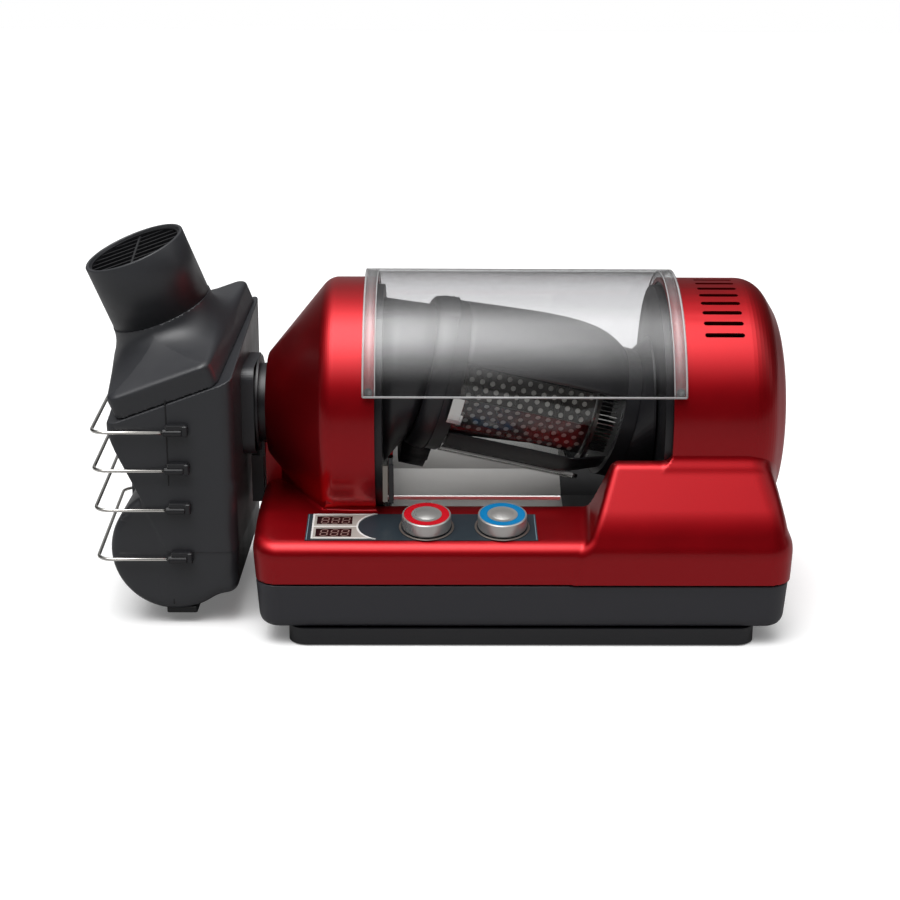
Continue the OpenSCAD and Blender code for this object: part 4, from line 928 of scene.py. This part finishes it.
ring = turned([(NECK_X, 46.0), (-121.5, 47.5), (-121.5, 53.4), (-120.3, 55.0), (-116.0, 56.3), (-112.5, 57.0),
               (-108.0, 57.0), (-107.0, 56.0), (-98.4, 56.0), (-98.0, 55.4), (-98.0, 51.6), (-110.0, 51.6),
               (-113.0, 46.0)], CHAMBER, 120)
lug_low = merge(wedge(-120, -98, -11, 25, 55.6, 68.0, 12, 1.5),
                wedge(-119, -99, -9.2, 23.2, 66.0, 75.5, 12, 4))
lug_top = skin(list(np.linspace(NECK_X, -104.5, 18)), lug, lambda x, a: 53.0, 170, 209, 26)
rim_line = wedge(-109.0, -107.4, 0, 360, 55.6, 57.6, 90)
piece("collar_skin", merge(ring, put(merge(lug_low, lug_top, rim_line), CHAMBER)), BLACK, "drum",
      ("front_collar",), True)


def neck_cone(n=96):
    """Cone from the tower's mouth to the narrower neck of the collar, with its open ends drawn in."""
    v, f = [], []
    sections = [(0.0, 0.0), (0.0, 1.0), (0.35, 1.0), (0.7, 1.0), (1.0, 1.0), (1.0, 0.0)]
    for along, out in sections:
        for k in range(n):
            t = 2 * math.pi * k / n
            wide, narrow = 60.5 - 8 * (1 - out), 48.5 - 4 * (1 - out)
            a = PHASE @ np.array([-99.0, wide * math.sin(t), 22.5 + wide * math.cos(t), 1.0])
            b = CHAMBER @ np.array([NECK_X, narrow * math.sin(t), narrow * math.cos(t), 1.0])
            v.append((a + (b - a) * along)[:3])
    for i in range(len(sections) - 1):
        lo, hi = i * n, (i + 1) * n
        f += [(lo + k, hi + k, hi + (k + 1) % n, lo + (k + 1) % n) for k in range(n)]
    f += [tuple(range(n)), tuple((len(sections) - 1) * n + k for k in range(n))[::-1]]
    return v, f


piece("exhaust_cone", neck_cone(), BLACK, "drum", ("exhaust_holder",), True)


def holed_facet(x0, a_lo, a_hi, r, cols, rows, pitch=7.7, hole=3.9, thick=0.6):
    """Flat sheet between two angles with staggered rows of round holes, and a pale sheet behind it that
    paints the reflection seen bright through the holes.
    """
    low, high = np.array(polar(0, a_lo, r)), np.array(polar(0, a_hi, r))
    width = np.linalg.norm(high - low)
    along = (high - low) / width
    inward = np.cross([1.0, 0, 0], along)
    if inward @ (low + high) > 0:
        inward = -inward
    cell = width / rows
    x1 = x0 + cols * pitch
    v, f = [], []

    def put_at(x, t, depth):
        v.append(low + np.array([x, 0, 0]) + along * t + inward * depth)
        return len(v) - 1

    for j in range(rows):
        shift = pitch / 2 if j % 2 else 0.0
        for c in range(cols):
            cx, cy = x0 + shift + (c + 0.5) * pitch, (j + 0.5) * cell
            inner, outer, deep = [], [], []
            for k in range(16):
                t = 2 * math.pi * k / 16
                co, si = math.cos(t), math.sin(t)
                q = max(abs(co), abs(si))
                inner.append(put_at(cx + hole / 2 * co, cy + hole / 2 * si, 0))
                outer.append(put_at(cx + pitch / 2 * co / q, cy + cell / 2 * si / q, 0))
                deep.append(put_at(cx + hole / 2 * co, cy + hole / 2 * si, thick))
            for k in range(16):
                k2 = (k + 1) % 16
                f += [(inner[k], outer[k], outer[k2], inner[k2]), (inner[k], inner[k2], deep[k2], deep[k])]
        lo, hi = (x0, x0 + shift) if shift else (x1, x1 + pitch / 2)
        filler = ((lo, j * cell), (hi, j * cell), (hi, (j + 1) * cell), (lo, (j + 1) * cell))
        f.append(tuple(put_at(x, t, 0) for x, t in filler))
    x1 += pitch / 2
    behind = [put_at(x, t, thick + 0.25) for x, t in ((x0, 0), (x1, 0), (x1, width), (x0, width))]
    return (v, f), ([v[i] for i in behind], [(0, 1, 2, 3)])


SCREEN_X = -94.0
low_sheet, low_glint = holed_facet(SCREEN_X, 76.0, 109.5, 45.5, 12, 5)
top_sheet, top_glint = holed_facet(SCREEN_X, 110.5, 139.0, 46.5, 12, 4)
hoops = merge(*[turned([(x, 42.5), (x, 50.6), (x + 2.6, 50.6), (x + 2.6, 42.5)], CHAMBER)
                for x in (-97.0, 3.0)])
piece("screen_sheet", merge(hoops, put(merge(low_sheet, top_sheet), CHAMBER)), SCREEN, "drum",
      ("perforated_screen",))
# pale sheet behind the holes: painted reflection, so the holes show bright
piece("screen_hole_glint", put(merge(low_glint, top_glint), CHAMBER), HOLE_GLINT, "drum")
apron = ([polar(x, a, r - thick) for thick in (0.0, 0.5)
          for x, a, r in ((SCREEN_X, 76.2, 45.4), (SCREEN_X, 66.0, 47.0), (-34.0, 76.2, 45.4))],
         [(0, 1, 2), (5, 4, 3), (0, 3, 4, 1), (1, 4, 5, 2), (2, 5, 3, 0)])
piece("screen_apron", put(apron, CHAMBER), BLACK, "drum")
tab = merge(wedge(-103.0, -93.5, 93, 113, 56.9, 57.8, 6), wedge(-94.5, -91.5, 93, 101, 56.9, 57.8, 3))
piece("latch_plate", put(tab, CHAMBER), STEEL, "drum", ("latch_tab",))
fins = merge(*[wedge(6.5, 20.5, a, a + 0.9, 36.5, 45.0, 1) for a in np.arange(84, 148, 4.2)])
piece("end_fins", put(fins, CHAMBER), STEEL, "drum")


# ---------- trim: reflector's lip, cover's hazy end bands, bay's left side, frame of the port ----------
lip = skin([-97.5, 28.2], lambda x, a: 86.2, lambda x, a: 85.4, 50.9, 53.7, 4)
piece("reflector_lip", put(lip, AXIS), RIM_WHITE, "chassis")
strip = rounded_box(-98.6, -94.9, -86.0, -85.2, 96.0, 123.0, 0.35)
post = rounded_box(-94.2, -90.8, -86.0, -85.0, 95.0, 124.0, 0.4)
bands = merge(*[skin(ends, lambda x, a: COVER_MID - 0.1, lambda x, a: COVER_MID - 0.7, 107.4, 268.5, 60)
                for ends in ([-111.0, -104.0], [104.0, 111.0])])
piece("cover_bands", put(bands, AXIS), FROST, "cover", smooth=True)
piece("bay_trim", strip, TRIM, "chassis")
piece("bay_post", post, BLACK, "chassis")
flange = band(rounded_outline(-33, 33, AX - 33, AX + 33, 11, 10), 1.2, -203.0, -193.6)
# the flange's x, y and z stand for y, z and x
turn = np.array([[0, 0, 1, 0], [1, 0, 0, 0], [0, 1, 0, 0], [0, 0, 0, 1]], float)
piece("collector_flange", put(flange, turn), COLLECTOR, "collector")


# ---------- stage, camera, light ----------
FLOOR_HALF = 12.0
floor_mesh = bpy.data.meshes.new("floor")
floor_corners = [(x * FLOOR_HALF, y * FLOOR_HALF, 0.0) for x, y in ((-1, -1), (1, -1), (1, 1), (-1, 1))]
floor_mesh.from_pydata(floor_corners, [], [(0, 1, 2, 3)])
floor = bpy.data.objects.new("floor", floor_mesh)
bpy.context.scene.collection.objects.link(floor)
# The camera sees a white floor that glows a little; the object is lit by a greyer one
fm, nt, b = new_mat("floor")
b.inputs["Roughness"].default_value = 0.9
b.inputs["Specular IOR Level"].default_value = 0.0
camera_ray = node(nt, "ShaderNodeLightPath").outputs["Is Camera Ray"]
nt.links.new(colour_mix(nt, camera_ray, [0.36] * 3, [0.90] * 3), b.inputs["Base Color"])
glow = node(nt, "ShaderNodeMath", operation="MULTIPLY")
glow.inputs[1].default_value = 0.15
nt.links.new(camera_ray, glow.inputs[0])
b.inputs["Emission Color"].default_value = (1, 1, 1, 1)
nt.links.new(glow.outputs[0], b.inputs["Emission Strength"])
floor.data.materials.append(fm)

# Camera solved from the photo: focal length in mm, directions and place in the drawing frame
cam_data = bpy.data.cameras.new("camera")
cam = bpy.data.objects.new("camera", cam_data)
bpy.context.scene.collection.objects.link(cam)
cam_data.lens = 64.341
cam_data.sensor_width = 36.0
cam_data.clip_end = 50
right = Vector((0.99993, -0.01010, 0.00535)).normalized()
back = Vector((-0.01121, -0.95850, 0.28485)).normalized()
up = back.cross(right).normalized()
right = up.cross(back).normalized()
M = Matrix((right, up, back)).transposed().to_4x4()
M.translation = Vector((-0.0639 + SX, -1.1654 + SY, 0.4554))
cam.matrix_world = M
bpy.context.scene.camera = cam

world = bpy.data.worlds.new("studio")
bpy.context.scene.world = world
world.use_nodes = True
wn = world.node_tree
wn.nodes.clear()
wo = node(wn, "ShaderNodeOutputWorld")
bg = node(wn, "ShaderNodeBackground")
tc = node(wn, "ShaderNodeTexCoord")
sp = node(wn, "ShaderNodeSeparateXYZ")
wn.links.new(tc.outputs["Generated"], sp.inputs["Vector"])
SKY_PEAK = 8.0      # strength of the softbox, and the scale of the brightness in ELEVATION


def curve(stops, source, scale, offset):
    """Brightness as a piecewise linear function of a world coordinate."""
    fac = node(wn, "ShaderNodeMath", operation="MULTIPLY_ADD")
    fac.inputs[1].default_value = scale
    fac.inputs[2].default_value = offset
    wn.links.new(source, fac.inputs[0])
    ramp = node(wn, "ShaderNodeValToRGB")
    ends = ramp.color_ramp.elements
    ends[0].position, ends[0].color = stops[0][0], (*[stops[0][1]] * 3, 1)
    ends[1].position, ends[1].color = stops[-1][0], (*[stops[-1][1]] * 3, 1)
    for pos, val in stops[1:-1]:
        e = ends.new(pos)
        e.color = (val, val, val, 1)
    wn.links.new(fac.outputs[0], ramp.inputs["Fac"])
    return ramp.outputs["Color"]


# Overhead softbox: brightness by the angle from the front horizon over the zenith to the back
neg = node(wn, "ShaderNodeMath", operation="MULTIPLY")
neg.inputs[1].default_value = -1.0
wn.links.new(sp.outputs["Y"], neg.inputs[0])
ang = node(wn, "ShaderNodeMath", operation="ARCTAN2")
wn.links.new(sp.outputs["Z"], ang.inputs[0])
wn.links.new(neg.outputs[0], ang.inputs[1])
ELEVATION = ((0, 0.03), (24, 0.06), (31, 0.14), (36, 0.6), (42, 1.5), (50, 2.9), (60, 5.3), (69, 7.8),
             (86, 7.8), (94, 5.0), (104, 2.2), (116, 0.8), (138, 0.3), (180, 0.25))
sky = curve([(a / 180.0, v / SKY_PEAK) for a, v in ELEVATION], ang.outputs[0], 1 / math.pi, 0.0)
ACROSS = ((-1.0, 0.02), (-0.75, 0.05), (-0.5, 0.35), (-0.3, 0.95), (0.0, 0.95), (0.08, 0.66), (0.16, 0.40),
          (0.4, 0.2), (0.7, 0.12), (1.0, 0.06))
side = curve([((x + 1) / 2, v) for x, v in ACROSS], sp.outputs["X"], 0.5, 0.5)
prod = node(wn, "ShaderNodeMix", data_type="RGBA", blend_type="MULTIPLY")
prod.inputs["Factor"].default_value = 1.0
wn.links.new(sky, prod.inputs["A"])
wn.links.new(side, prod.inputs["B"])
# The camera sees the softbox as plain white
seen = node(wn, "ShaderNodeLightPath").outputs["Is Camera Ray"]
backdrop = node(wn, "ShaderNodeMix", data_type="RGBA")
backdrop.inputs["B"].default_value = (*[1.0 / SKY_PEAK] * 3, 1)
wn.links.new(seen, backdrop.inputs["Factor"])
wn.links.new(prod.outputs["Result"], backdrop.inputs["A"])
wn.links.new(backdrop.outputs["Result"], bg.inputs["Color"])
bg.inputs["Strength"].default_value = SKY_PEAK
wn.links.new(bg.outputs["Background"], wo.inputs["Surface"])

bpy.context.scene.view_settings.view_transform = "Standard"
